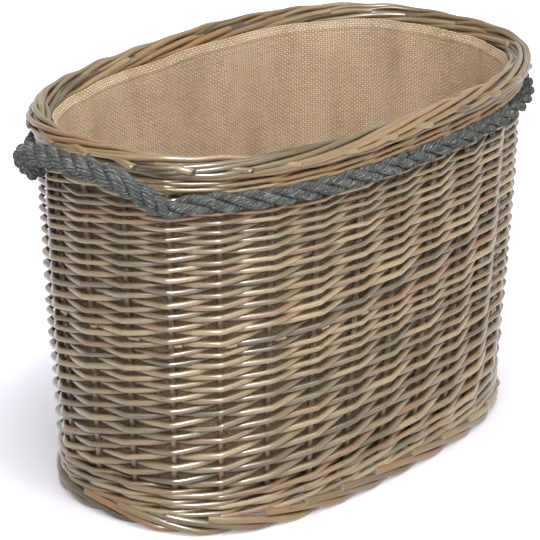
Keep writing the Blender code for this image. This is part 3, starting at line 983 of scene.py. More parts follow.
@dataclass
class WovenBand:
    """Rows of weave between two heights: pairing has two rods a row, a three-rod wale three."""

    shape: BasketShape
    node: str
    rows: int
    radius: float
    stroke: RoundStroke
    seed: int
    top_row_share: float = 1.0
    proud: float = 0.0
    warm_share: float = 0.10
    first_bay: float = 0.5
    last_bay: float = 28.5
    rod_bays: tuple[int, int] = (16, 26)
    butt_share: float = 1.10
    tip_share: float = 0.86
    row_drift: Drift = Drift(0.0005, 10)
    extra_low: float = 0.0
    # Where on the way in the painted shade starts, and over how much it grows.
    shade_from: float = 0.62
    shade_over: float = 0.33
    girth_drift: Drift = Drift(0.03, 6)
    depth_drift: Drift = Drift(0.0003, 8)
    sides: int = 9

    def heights(self) -> tuple[float, float]:
        """Return the band's bottom and top, from the frame's solid."""
        low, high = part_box(self.node)
        return low.z - self.extra_low, high.z

    def rod(self, hand: Weaver, level: float, size: float, start: float, end: float, phase: float) -> Rod:
        """Return one rod of a row.

        Args:
            hand: The maker's hand.
            level: The row's height.
            size: The row's thickness against the band's mean.
            start: The bay where the rod starts.
            end: The bay where it ends.
            phase: The bay of an inside stake that it passes.

        Returns:
            The rod.
        """
        whole = np.arange(math.floor(start - 0.5), math.ceil(end - 0.5) + 1) + 0.5
        bays = (whole[:, None] + np.asarray(STROKE_SAMPLES)[None]).ravel()
        bays = bays[(bays >= start - SAME_BAY) & (bays <= end + SAME_BAY)]
        count = len(bays)
        place = bays - phase
        taper = np.linspace(self.butt_share, self.tip_share, count)
        radii = self.radius * size * taper * (1 + hand.wander(count, self.girth_drift))
        depth = self.stroke.depth(place)
        outside = self.proud - radii
        inside = self.shape.inner_offset + radii
        offset = outside * (1 - depth) + inside * depth + hand.wander(count, self.depth_drift)
        height = level + size * self.stroke.rise(place) + hand.wander(count, self.row_drift)
        points = self.shape.point(self.shape.bay_share(bays), height, offset)
        # Painted shade on the part of the rod that goes in behind the stakes.
        recess_shade = smooth_step((depth - self.shade_from) / self.shade_over)
        return Rod(points, radii, hand.tone(), hand.warmth(self.warm_share), recess_shade)

    def rods(self) -> list[Rod]:
        """Lay the band row by row.

        Returns:
            Every rod of the band.
        """
        hand = Weaver(self.seed)
        bottom, top = self.heights()
        shortest = 2 * self.stroke.period
        found = []
        for row in range(self.rows):
            low = rows_rise(row / self.rows, self.top_row_share)
            high = rows_rise((row + 1) / self.rows, self.top_row_share)
            level = bottom + (top - bottom) * (low + high) / 2
            size = (high - low) * self.rows
            for strand in range(self.stroke.period):
                phase = self.first_bay + strand
                reach = self.last_bay + (phase - self.first_bay if self.closed else 0.0)
                start = phase if self.closed else self.first_bay
                while start < reach:
                    bays = int(hand.dice.integers(self.rod_bays[0], self.rod_bays[1] + 1))
                    bays -= bays % self.stroke.period
                    end = start + bays
                    if end > reach - shortest:
                        end = reach
                    found.append(self.rod(hand, level, size, start, end, phase))
                    start = end
        return found

    @property
    def closed(self) -> bool:
        """Tell whether the band goes all the way round."""
        return self.last_bay - self.first_bay >= self.shape.stake_count

    def build(self, sweep: RodSweep, finish: bpy.types.Material, slot: Slot) -> None:
        """Make the band's piece and settle it in the basket."""
        settle(sweep.lay(self.node + "_rods", self.rods(), finish, self.sides), [self.node])


@dataclass
class RandedBand:
    """A French rand: a rod starts at every stake and climbs half a row a bay, outside one, inside one."""

    shape: BasketShape
    node: str
    rows: int
    butt_radius: float
    tip_radius: float
    seed: int
    top_row_share: float = 0.64
    belly: float = 0.0032
    warm_share: float = 0.16
    swing_share: float = 0.82
    stroke: RoundStroke = field(default_factory=lambda: RoundStroke(1, 0.0))
    girth_range: Range = (0.92, 1.08)
    girth_drift: Drift = Drift(0.05, 12)
    row_drift: Drift = Drift(0.0007, 10)
    depth_drift: Drift = Drift(0.0003, 8)
    shade_from: float = 0.66
    shade_over: float = 0.3
    sides: int = 9
    stub_length: float = 0.013
    stub_radius: float = 0.0023
    stub_depth: float = 0.0050
    stub_rise: float = 0.001
    stub_points: int = 5
    stub_length_range: Range = (0.5, 1.2)
    stub_bay_range: Range = (0.06, 0.10)

    def rod(self, hand: Weaver, first_stake: int) -> Rod:
        """Lay a rod that starts inside a stake at the band's bottom and climbs to its top.

        Args:
            hand: The maker's hand.
            first_stake: The stake where it starts.

        Returns:
            The rod.
        """
        low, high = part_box(self.node)
        bays = 2 * self.rows
        place = (np.arange(bays)[:, None] + np.asarray(STROKE_SAMPLES)[None]).ravel()
        place = np.append(place, float(bays))
        count = len(place)
        radii = np.linspace(self.butt_radius, self.tip_radius, count) * hand.dice.uniform(*self.girth_range)
        radii = radii * (1 + hand.wander(count, self.girth_drift))
        risen = rows_rise(place / bays, self.top_row_share)
        height = low.z + (high.z - low.z) * risen + hand.wander(count, self.row_drift)
        bulge = self.belly * np.sin(np.pi * height / self.shape.height)
        depth = self.swing_share * self.stroke.depth(place)
        inside = self.shape.inner_offset + radii
        offset = (bulge - radii) * (1 - depth) + inside * depth + hand.wander(count, self.depth_drift)
        share = self.shape.bay_share(first_stake + 0.5 + place)
        points = self.shape.point(share, height, offset)
        # Painted shade where the rod goes in behind the stakes.
        recess_shade = smooth_step((depth / self.swing_share - self.shade_from) / self.shade_over)
        return Rod(points, radii, hand.tone(), hand.warmth(self.warm_share), recess_shade)

    def stub(self, hand: Weaver, stake: int) -> Rod:
        """Lay a pale butt that shows beside a stake where the rods of the band start.

        Args:
            hand: The maker's hand.
            stake: The stake.

        Returns:
            The butt.
        """
        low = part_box(self.node)[0]
        along = self.stub_length * hand.dice.uniform(*self.stub_length_range)
        bay = stake + 0.5 + hand.dice.uniform(*self.stub_bay_range)
        reach = along / self.shape.top_oval.perimeter * self.shape.stake_count
        bays = np.linspace(bay, bay + reach, self.stub_points)
        height = low.z + self.stub_rise + np.linspace(0.0, self.stub_rise, self.stub_points)
        points = self.shape.point(self.shape.bay_share(bays), height, -self.stub_depth)
        return Rod(points, np.full(self.stub_points, self.stub_radius), tone=0.0, warmth=0.0)

    def build(self, sweep: RodSweep, finish: bpy.types.Material, stubs: bool) -> None:
        """Make the band's piece and settle it in the basket.

        Args:
            sweep: The rod maker.
            finish: The rods' material.
            stubs: Whether butts show.
        """
        hand = Weaver(self.seed)
        rods = [self.rod(hand, stake) for stake in range(self.shape.stake_count)]
        if stubs:
            rods += [self.stub(hand, stake) for stake in range(self.shape.stake_count)]
        settle(sweep.lay(self.node + "_rods", rods, finish, self.sides), [self.node])


@dataclass
class Stakes:
    """The upright rods that all the weave is built on."""

    shape: BasketShape
    seed: int = 31
    samples: int = 12
    head: float = 0.010
    tip_share: float = 0.92
    drift: Drift = Drift(0.0002, 3)
    tone_share: float = 0.7
    warm_share: float = 0.1
    # Painted shade all along the stakes, which stand within the weave.
    recess_shade: float = 0.3
    sides: int = 12

    def build(self, sweep: RodSweep, finish: bpy.types.Material) -> None:
        """Make the stakes as one piece.

        Args:
            sweep: The rod maker.
            finish: The rods' material.
        """
        hand = Weaver(self.seed)
        rods = []
        names = ["stake_%02d" % (index + 1) for index in range(self.shape.stake_count)]
        for index, name in enumerate(names):
            low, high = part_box(name)
            heights = np.linspace(low.z, high.z + self.head, self.samples)
            share = float(self.shape.bay_share(index + 0.5))
            offset = self.shape.stake_offset + hand.wander(self.samples, self.drift)
            points = self.shape.point(share, heights, offset)
            radii = self.shape.stake_diameter / 2 * np.linspace(1.0, self.tip_share, self.samples)
            tone = hand.tone() * self.tone_share
            rods.append(Rod(points, radii, tone, hand.warmth(self.warm_share), self.recess_shade))
        settle(sweep.lay("stake_rods", rods, finish, self.sides), names)


@dataclass
class TopBorder:
    """The rolled border: each stake's own end winds round the roll for some ten bays."""

    shape: BasketShape
    seed: int = 47
    butt_radius: float = 0.0035
    tip_radius: float = 0.0027
    coil_radius: float = 0.0097
    core_radius: float = 0.0072
    turn_per_bay_deg: float = 36.0
    first_angle_deg: float = 138.0
    last_angle_deg: float = 500.0
    start_spread_deg: float = 14.0
    butt_sink: float = 0.0036
    butt_settle_deg: float = 22.0
    tip_settle_deg: float = 40.0
    stake_hump: float = 0.0006
    proud_bays: tuple[int, ...] = (3, 8, 21, 22, 24)
    samples_per_bay: int = 9
    start_spread_bays: float = 0.2
    turn_drift: Drift = Drift(3.0, 12)
    girth_range: Range = (0.88, 1.10)
    girth_drift: Drift = Drift(0.02, 8)
    reach_drift: Drift = Drift(0.0004, 8)
    tip_sink: float = 0.005
    # Painted shade on the underside of the roll, between these angles from its outer side.
    shaded_deg: Range = (235.0, 285.0)
    shade_edge_deg: float = 40.0
    shade_depth: float = 0.6
    warm_share: float = 0.2
    stub_radius: float = 0.0035
    stub_length_bays: float = 0.62
    stub_start: float = 0.35
    stub_points: int = 9
    stub_length_range: Range = (0.85, 1.15)
    stub_girth_range: Range = (0.9, 1.1)
    stub_angle_deg: float = 24.0
    stub_fall_deg: float = 34.0
    stub_spread_deg: float = 9.0
    stub_sink: float = 0.0046
    stub_lift: float = 0.0064
    stub_lift_rate: float = 1.15
    # Painted shade where a cut end comes out from under the rods, and at its slanted cut.
    stub_shade: float = 0.35
    stub_warm_share: float = 0.1
    slant: float = 0.0012
    slant_out: float = 1.4
    slant_down: float = 0.5
    cut_end_shade: float = 0.9
    core_samples_per_bay: int = 4
    core_tone: float = 0.9
    sides: int = 12

    def section_point(self, bays: np.ndarray, angle: np.ndarray, reach: np.ndarray) -> np.ndarray:
        """Find points round the border's centre line.

        Args:
            bays: Places round the border.
            angle: Angles from its outer side upwards.
            reach: Distances from the centre line.

        Returns:
            One point a place.
        """
        share = self.shape.bay_share(bays)
        centre = self.shape.border_oval.at(share)
        centre[:, 2] = self.shape.height - self.shape.border_thickness / 2
        outward = self.shape.border_oval.outward(share)
        up = np.zeros_like(outward)
        up[:, 2] = 1.0
        across = outward * np.cos(angle)[:, None] + up * np.sin(angle)[:, None]
        return centre + across * reach[:, None]

    def wound_rod(self, hand: Weaver, bay: float) -> Rod:
        """Lay a rod whose butt is inside the top and that winds on to the right.

        Args:
            hand: The maker's hand.
            bay: The bay near which it starts.

        Returns:
            The rod.
        """
        first = self.first_angle_deg + hand.dice.uniform(-1.0, 1.0) * self.start_spread_deg
        turned = self.last_angle_deg - first
        count = int(turned / self.turn_per_bay_deg * self.samples_per_bay)
        angle_deg = np.linspace(first, self.last_angle_deg, count) + hand.wander(count, self.turn_drift)
        start = bay + hand.dice.uniform(-self.start_spread_bays, self.start_spread_bays)
        bays = start + np.linspace(0.0, turned / self.turn_per_bay_deg, count)
        radii = np.linspace(self.butt_radius, self.tip_radius, count)
        radii = radii * hand.dice.uniform(*self.girth_range) * (1 + hand.wander(count, self.girth_drift))
        sink = 0.0 if int(bay) in self.proud_bays else self.butt_sink
        sunk = sink * (1 - smooth_step((angle_deg - first) / self.butt_settle_deg))
        settled = smooth_step((angle_deg - self.last_angle_deg + self.tip_settle_deg) / self.tip_settle_deg)
        hump = self.stake_hump * np.cos(math.tau * (bays - 0.5))
        reach = self.coil_radius - sunk - self.tip_sink * settled + hump
        reach = reach + hand.wander(count, self.reach_drift)
        points = self.section_point(bays, np.radians(angle_deg), reach)
        # Painted shade where the rod passes under the roll.
        entered, left = (smooth_step((angle_deg - edge) / self.shade_edge_deg) for edge in self.shaded_deg)
        recess_shade = entered * (1 - left) * self.shade_depth
        return Rod(points, radii, hand.tone(), hand.warmth(self.warm_share), recess_shade)

    def stub(self, hand: Weaver, bay: float) -> Rod:
        """Lay a cut end that comes out from under the rods of the outer face.

        Args:
            hand: The maker's hand.
            bay: The bay where it starts.

        Returns:
            The end.
        """
        progress = np.linspace(0.0, 1.0, self.stub_points)
        length = self.stub_length_bays * hand.dice.uniform(*self.stub_length_range)
        bays = bay + progress * length
        spread = hand.dice.uniform(-self.stub_spread_deg, self.stub_spread_deg)
        angle = np.radians(self.stub_angle_deg - self.stub_fall_deg * progress + spread)
        lifted = smooth_step(progress * self.stub_lift_rate)
        reach = self.coil_radius - self.stub_sink + self.stub_lift * lifted
        radii = np.full(self.stub_points, self.stub_radius * hand.dice.uniform(*self.stub_girth_range))
        points = self.section_point(bays, angle, reach)
        # The last short step turns outwards, which cuts the end on the slant.
        outward = self.shape.border_oval.outward(self.shape.bay_share(bays[-1:]))[0]
        along = unit(points[-1] - points[-2])
        lean = unit(along + self.slant_out * outward - np.array([0.0, 0.0, self.slant_down]))
        points = np.concatenate([points, (points[-1] + self.slant * lean)[None]])
        radii = np.append(radii, radii[-1])
        # Painted shade fades as the end comes out, and is strong at the slanted cut, whose face turns to the
        # dark cut colour.
        recess_shade = np.append(self.stub_shade * (1 - progress), self.cut_end_shade)
        return Rod(points, radii, hand.tone(), hand.warmth(self.stub_warm_share), recess_shade)

    def build(self, sweep: RodSweep, finish: bpy.types.Material) -> None:
        """Make the border as one piece.

        Args:
            sweep: The rod maker.
            finish: The rods' material.
        """
        hand = Weaver(self.seed)
        rods = [self.wound_rod(hand, float(bay)) for bay in range(self.shape.stake_count)]
        rods += [self.stub(hand, bay + self.stub_start) for bay in range(self.shape.stake_count)]
        # A dark core fills the roll, fully in painted shade.
        samples = self.shape.stake_count * self.core_samples_per_bay
        core_bays = np.linspace(0.0, self.shape.stake_count, samples + 1)
        core = self.section_point(core_bays, np.zeros_like(core_bays), np.zeros_like(core_bays))
        core_radii = np.full(len(core), self.core_radius)
        rods.append(Rod(core, core_radii, self.core_tone, warmth=0.0, recess_shade=1.0))
        settle(sweep.lay("top_border_rods", rods, finish, self.sides), ["top_border"])


@dataclass
class FootBorder:
    """The plaited foot: each rod starts with a high butt outside, slants down to the ground and turns in."""

    shape: BasketShape
    seed: int = 53
    radius: float = 0.0043
    overhang: float = 0.004
    butt_height: float = 0.0248
    butt_drop: float = 0.0070
    tip_rise: float = 0.004
    start: float = 0.30
    start_spread: float = 0.1
    smoothing: int = 3
    taper: Range = (1.06, 0.88)
    girth_range: Range = (0.94, 1.04)
    shade_from: float = 0.003
    shade_over: float = 0.006
    warm_share: float = 0.2
    sides: int = 12
    samples_per_bay: int = 10
    reach_bays: float = 2.9
    # At each knot, in bays from the butt, a rod lies this far in from the outside.
    knots: tuple[float, ...] = (0.0, 1.0, 1.9, 2.3, 2.9)
    inward: tuple[float, ...] = (0.0, 0.0011, 0.0016, 0.007, 0.009)

    def build(self, sweep: RodSweep, finish: bpy.types.Material) -> None:
        """Make the foot as one piece.

        Args:
            sweep: The rod maker.
            finish: The rods' material.
        """
        hand = Weaver(self.seed)
        rods = []
        outer = self.overhang - self.radius
        low = self.radius
        count = int(self.reach_bays * self.samples_per_bay)
        place = np.linspace(0.0, self.reach_bays, count)
        butt = self.butt_height - self.radius
        levels = (butt, butt - self.butt_drop, low, low, low + self.tip_rise)
        heights = np.interp(place, self.knots, levels)
        offsets = np.interp(place, self.knots, outer - np.array(self.inward))
        kernel = np.hanning(2 * self.smoothing + 1)
        kernel /= kernel.sum()
        heights = np.convolve(np.pad(heights, self.smoothing, "edge"), kernel, "valid")
        offsets = np.convolve(np.pad(offsets, self.smoothing, "edge"), kernel, "valid")
        # Painted shade on the parts of the rods that turn in under the basket.
        recess_shade = smooth_step((outer - offsets - self.shade_from) / self.shade_over)
        for index in range(self.shape.stake_count):
            start = index + self.start + hand.dice.uniform(-self.start_spread, self.start_spread)
            bays = start + place
            radii = self.radius * np.linspace(*self.taper, count) * hand.dice.uniform(*self.girth_range)
            level = np.maximum(heights, radii)
            points = self.shape.point(self.shape.bay_share(bays), level, offsets)
            rods.append(Rod(points, radii, hand.tone(), hand.warmth(self.warm_share), recess_shade))
        settle(sweep.lay("foot_border_rods", rods, finish, self.sides), ["foot_border"])


@dataclass
class BaseMat:
    """The woven oval bottom and the sticks inside it."""

    shape: BasketShape
    seed: int = 61
    rod_radius: float = 0.0029
    stick_radius: float = 0.0030
    row_pitch: float = 0.0072
    full_rows_share: float = 0.55
    samples_per_bay: int = 7
    wave_roundness: float = 0.7
    drift_share: float = 0.55
    girth_range: Range = (0.92, 1.06)
    warm_share: float = 0.15
    # Painted shade, even over the mat.
    recess_shade: float = 0.15
    sides: int = 8
    stick_points: int = 12
    stick_warmth: float = 0.1
    # Painted shade, even over the sticks.
    stick_shade: float = 0.2
    stick_sides: int = 12

    def mat_rods(self) -> list[Rod]:
        """Lay the rows of the mat, from the edge to the middle.

        Returns:
            The rods.
        """
        hand = Weaver(self.seed)
        low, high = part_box("base_weave")
        middle = (low.z + high.z) / 2
        swing = (high.z - low.z) / 2 - self.rod_radius
        edge = self.shape.inner_offset - self.rod_radius
        half_width = (high.y - low.y) / 2
        rows = int((half_width - 2 * self.rod_radius) / self.row_pitch)
        found = []
        for row in range(rows):
            offset = edge - row * self.row_pitch
            full = row < rows * self.full_rows_share
            bays = self.shape.stake_count if full else self.shape.stake_count // 2
            for strand in (0.0, 1.0):
                place = np.linspace(0.0, bays, bays * self.samples_per_bay + 1)
                wave = np.cos(np.pi * (place + strand))
                level = middle + swing * np.sign(wave) * np.abs(wave) ** self.wave_roundness
                share = place / bays
                drift = self.rod_radius * self.drift_share * np.sin(np.pi * (place + strand))
                points = self.shape.point(share, low.z, offset + drift)
                points[:, 2] = level
                radii = np.full(len(place), self.rod_radius) * hand.dice.uniform(*self.girth_range)
                found.append(Rod(points, radii, hand.tone(), hand.warmth(self.warm_share), self.recess_shade))
        return found

    def build(self, sweep: RodSweep, mat: bpy.types.Material, stick: bpy.types.Material) -> None:
        """Make the mat and its sticks, a piece each.

        Args:
            sweep: The rod maker.
            mat: The mat's material.
            stick: The sticks' material.
        """
        settle(sweep.lay("base_mat_rods", self.mat_rods(), mat, self.sides), ["base_weave"])
        hand = Weaver(self.seed + 1)
        names = [name for name in sorted(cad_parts) if "base_stick" in name]
        rods = []
        for name in names:
            low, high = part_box(name)
            middle = (low + high) / 2
            along = "x" if high.x - low.x > high.y - low.y else "y"
            start = middle.copy()
            end = middle.copy()
            setattr(start, along, getattr(low, along))
            setattr(end, along, getattr(high, along))
            points = np.linspace(start, end, self.stick_points)
            radii = np.full(self.stick_points, self.stick_radius)
            rods.append(Rod(points, radii, hand.tone(), self.stick_warmth, self.stick_shade))
        settle(sweep.lay("base_stick_rods", rods, stick, self.stick_sides), names)


@dataclass
class Liner:
    """The hessian bag: a folded wall, a stitched hem and a floor."""

    shape: BasketShape
    thickness: float = 0.0012
    clearance: float = 0.0003
    hem_height: float = 0.012
    tuck: float = 0.0105
    tuck_lean: float = 0.004
    fold_depth: float = 0.009
    floor_fold_share: float = 0.25
    columns: int = 448
    rows: int = 44
    seed: int = 71
    held_share: float = 0.5
    held_height: float = 0.04
    crease_count: int = 26
    crease_turns: tuple[int, int] = (3, 30)
    crease_slant: float = 14.0
    crease_sizes: Range = (0.3, 1.0)
    crease_fall: float = 0.6
    crease_depth: float = 0.0006
    pucker_share: float = 0.49
    pucker_width: float = 0.035
    pucker_height: float = 0.05
    pucker_count: int = 72
    pucker_depth: float = 0.0016
    press_height: float = 0.004
    hem_rows: int = 8
    hem_stand: float = 0.6
    floor_columns: int = 112
    floor_rings: int = 22
    floor_wave: float = 0.0012
    floor_wave_run: float = 0.1
    floor_wave_turns: tuple[int, int] = (9, 11)
    floor_wave_hold: int = 6
    # Each fold: the share where it lies, its width as a share, and how deep it is against fold_depth.
    folds: tuple[tuple[float, float, float], ...] = (
        (0.035, 0.012, 0.7),
        (0.105, 0.018, 1.0),
        (0.190, 0.014, 0.6),
        (0.265, 0.020, 0.9),
        (0.345, 0.013, 0.7),
        (0.430, 0.016, 1.0),
        (0.515, 0.014, 0.6),
        (0.600, 0.017, 0.8),
        (0.690, 0.013, 0.7),
        (0.775, 0.020, 0.9),
        (0.860, 0.014, 0.8),
        (0.945, 0.016, 0.9),
    )

    def __post_init__(self) -> None:
        """Take the bag's bottom and top from the frame, its edge tucked up under the border."""
        low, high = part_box("liner_wall")
        self.bottom = low.z
        self.top = high.z + self.tuck

    def stand_in(self, share: np.ndarray, height: np.ndarray) -> np.ndarray:
        """Tell how far the folds stand in from the weave.

        Args:
            share: Shares of the way round.
            height: Heights above the floor.

        Returns:
            The distances.
        """
        rise = smooth_step((height - self.bottom) / (self.top - self.bottom))
        depth = np.zeros(np.broadcast(share, height).shape)
        for centre, width, amount in self.folds:
            away = np.mod(share - centre + 0.5, 1.0) - 0.5
            depth = depth + self.fold_depth * amount * np.exp(-((away / width) ** 2))
        held = 1 - self.held_share * smooth_step((height - self.top + self.held_height) / self.held_height)
        return depth * held * (self.floor_fold_share + (1 - self.floor_fold_share) * rise)

    def ripple(self, share: np.ndarray, height: np.ndarray) -> np.ndarray:
        """Make small creases that run mostly up the cloth, and puckers at the top of one end.

        Args:
            share: Shares of the way round.
            height: Heights above the floor.

        Returns:
            How far the cloth stands off.
        """
        total = np.zeros(np.broadcast(share, height).shape)
        dice = np.random.default_rng(self.seed)
        for _ in range(self.crease_count):
            turns = int(dice.integers(*self.crease_turns))
            slant = dice.uniform(-self.crease_slant, self.crease_slant)
            phase = dice.uniform(0.0, math.tau)
            size = dice.uniform(*self.crease_sizes) / turns**self.crease_fall
            total = total + size * np.sin(math.tau * turns * share + slant * height + phase)
        near_top = smooth_step((height - self.top + self.pucker_height) / self.pucker_height)
        end = np.exp(-(((np.mod(share + 0.5, 1.0) - self.pucker_share) / self.pucker_width) ** 2))
        pucker = np.sin(math.tau * share * self.pucker_count) * end * near_top
        return self.crease_depth * total + self.pucker_depth * pucker

    def ring(self, name: str, bottom: float, top: float, rows: int, offset: float,
             pressed: float = 0.0) -> bpy.types.Object:
        """Return a closed ring of cloth, one layer thick, with its own flat map.

        Args:
            name: The piece's name.
            bottom: The height of its lower edge.
            top: The height of its upper edge.
            rows: How many rows of faces it has.
            offset: Where its outer face lies, against the wall's outer face.
            pressed: How far its lower edge is pressed back to the wall.

        Returns:
            The piece.
        """
        columns = self.columns
        share = np.arange(columns) / columns
        height = np.linspace(bottom, top, rows + 1)
        grid_share, grid_height = np.meshgrid(share, height)
        place = offset - self.thickness / 2 - self.stand_in(grid_share, grid_height)
        place = place - np.abs(self.ripple(grid_share, grid_height))
        place = place + pressed * (1 - smooth_step((grid_height - bottom) / self.press_height))
        place = place + self.tuck_lean * smooth_step((grid_height - self.top + self.tuck) / self.tuck)
        points = self.shape.point(grid_share, grid_height, place).reshape(-1, 3)
        column = np.arange(columns)
        following = (column + 1) % columns
        faces = []
        for row in range(rows):
            low = row * columns
            high = low + columns
            faces += np.stack([low + column, low + following, high + following, high + column], 1).tolist()
        mesh = bpy.data.meshes.new(name)
        mesh.from_pydata(points.tolist(), [], faces)
        layer = mesh.uv_layers.new(name="cloth")
        perimeter = self.shape.top_oval.perimeter
        corner_share = np.stack([column, column + 1, column + 1, column], 1) / columns * perimeter
        corners = []
        for row in range(rows):
            rise = np.stack([height[row], height[row], height[row + 1], height[row + 1]])
            corners.append(np.stack([corner_share, np.broadcast_to(rise, (columns, 4))], -1))
        layer.data.foreach_set("uv", np.concatenate(corners).astype(np.float32).ravel())
        mesh.shade_smooth()
        return self.thicken(mesh, name)

    def thicken(self, mesh: bpy.types.Mesh, name: str) -> bpy.types.Object:
        """Give a sheet its thickness, half to each side, and put it in the scene.

        Args:
            mesh: The sheet's middle layer.
            name: The piece's name.

        Returns:
            The piece.
        """
        sheet = bpy.data.objects.new(name + "_middle", mesh)
        bpy.context.scene.collection.objects.link(sheet)
        wall = sheet.modifiers.new("thickness", "SOLIDIFY")
        wall.thickness = self.thickness
        wall.offset = 0.0
        return freeze(sheet, name)

    def floor(self, name: str, inset: float) -> bpy.types.Object:
        """Make the bag's floor, a flat sheet with soft waves, in rings about its middle.

        Args:
            name: The piece's name.
            inset: Where its edge lies, against the wall's outer face.

        Returns:
            The piece.
        """
        columns = self.floor_columns
        rings = self.floor_rings
        turns_x, turns_y = self.floor_wave_turns
        share = np.arange(columns) / columns
        level = self.bottom + self.thickness
        edge = self.shape.point(share, level, inset - self.stand_in(share, np.full(columns, level)))
        points = [np.array([[0.0, 0.0, level]])]
        for ring in range(1, rings + 1):
            row = edge * (ring / rings)
            wave = self.floor_wave * np.sin(turns_x * row[:, 0] / self.floor_wave_run)
            wave = wave * np.sin(turns_y * row[:, 1] / self.floor_wave_run)
            row[:, 2] = level + self.floor_wave + wave * (1 - (ring / rings) ** self.floor_wave_hold)
            points.append(row)
        faces = []
        for column in range(columns):
            after = (column + 1) % columns
            faces.append((0, 1 + column, 1 + after))
            for ring in range(rings - 1):
                first = 1 + ring * columns
                second = first + columns
                faces.append((first + column, second + column, second + after, first + after))
        flat = np.concatenate(points)
        mesh = bpy.data.meshes.new(name)
        mesh.from_pydata(flat.tolist(), [], faces)
        layer = mesh.uv_layers.new(name="cloth")
        loops = np.zeros(len(mesh.loops), np.int32)
        mesh.loops.foreach_get("vertex_index", loops)
        layer.data.foreach_set("uv", flat[loops, :2].astype(np.float32).ravel())
        mesh.shade_smooth()
        return self.thicken(mesh, name)

    def build(self, finish: bpy.types.Material) -> None:
        """Args:
            finish: The cloth.
        """
        outer_face = self.shape.inner_offset - self.clearance
        inner_face = self.shape.inner_offset - 2 * self.clearance - self.thickness
        wall = self.ring("liner_wall_cloth", self.bottom, self.top, self.rows, outer_face)
        hem_bottom = self.top - self.hem_height
        hem_face = inner_face + self.hem_stand * self.thickness
        hem = self.ring("liner_hem_cloth", hem_bottom, self.top, self.hem_rows, hem_face, self.thickness)
        base = self.floor("liner_base_cloth", inner_face - self.clearance)
        for piece, node in ((wall, "liner_wall"), (hem, "liner_hem"), (base, "liner_base")):
            piece.data.materials.clear()
            piece.data.materials.append(finish)
            settle(piece, [node])


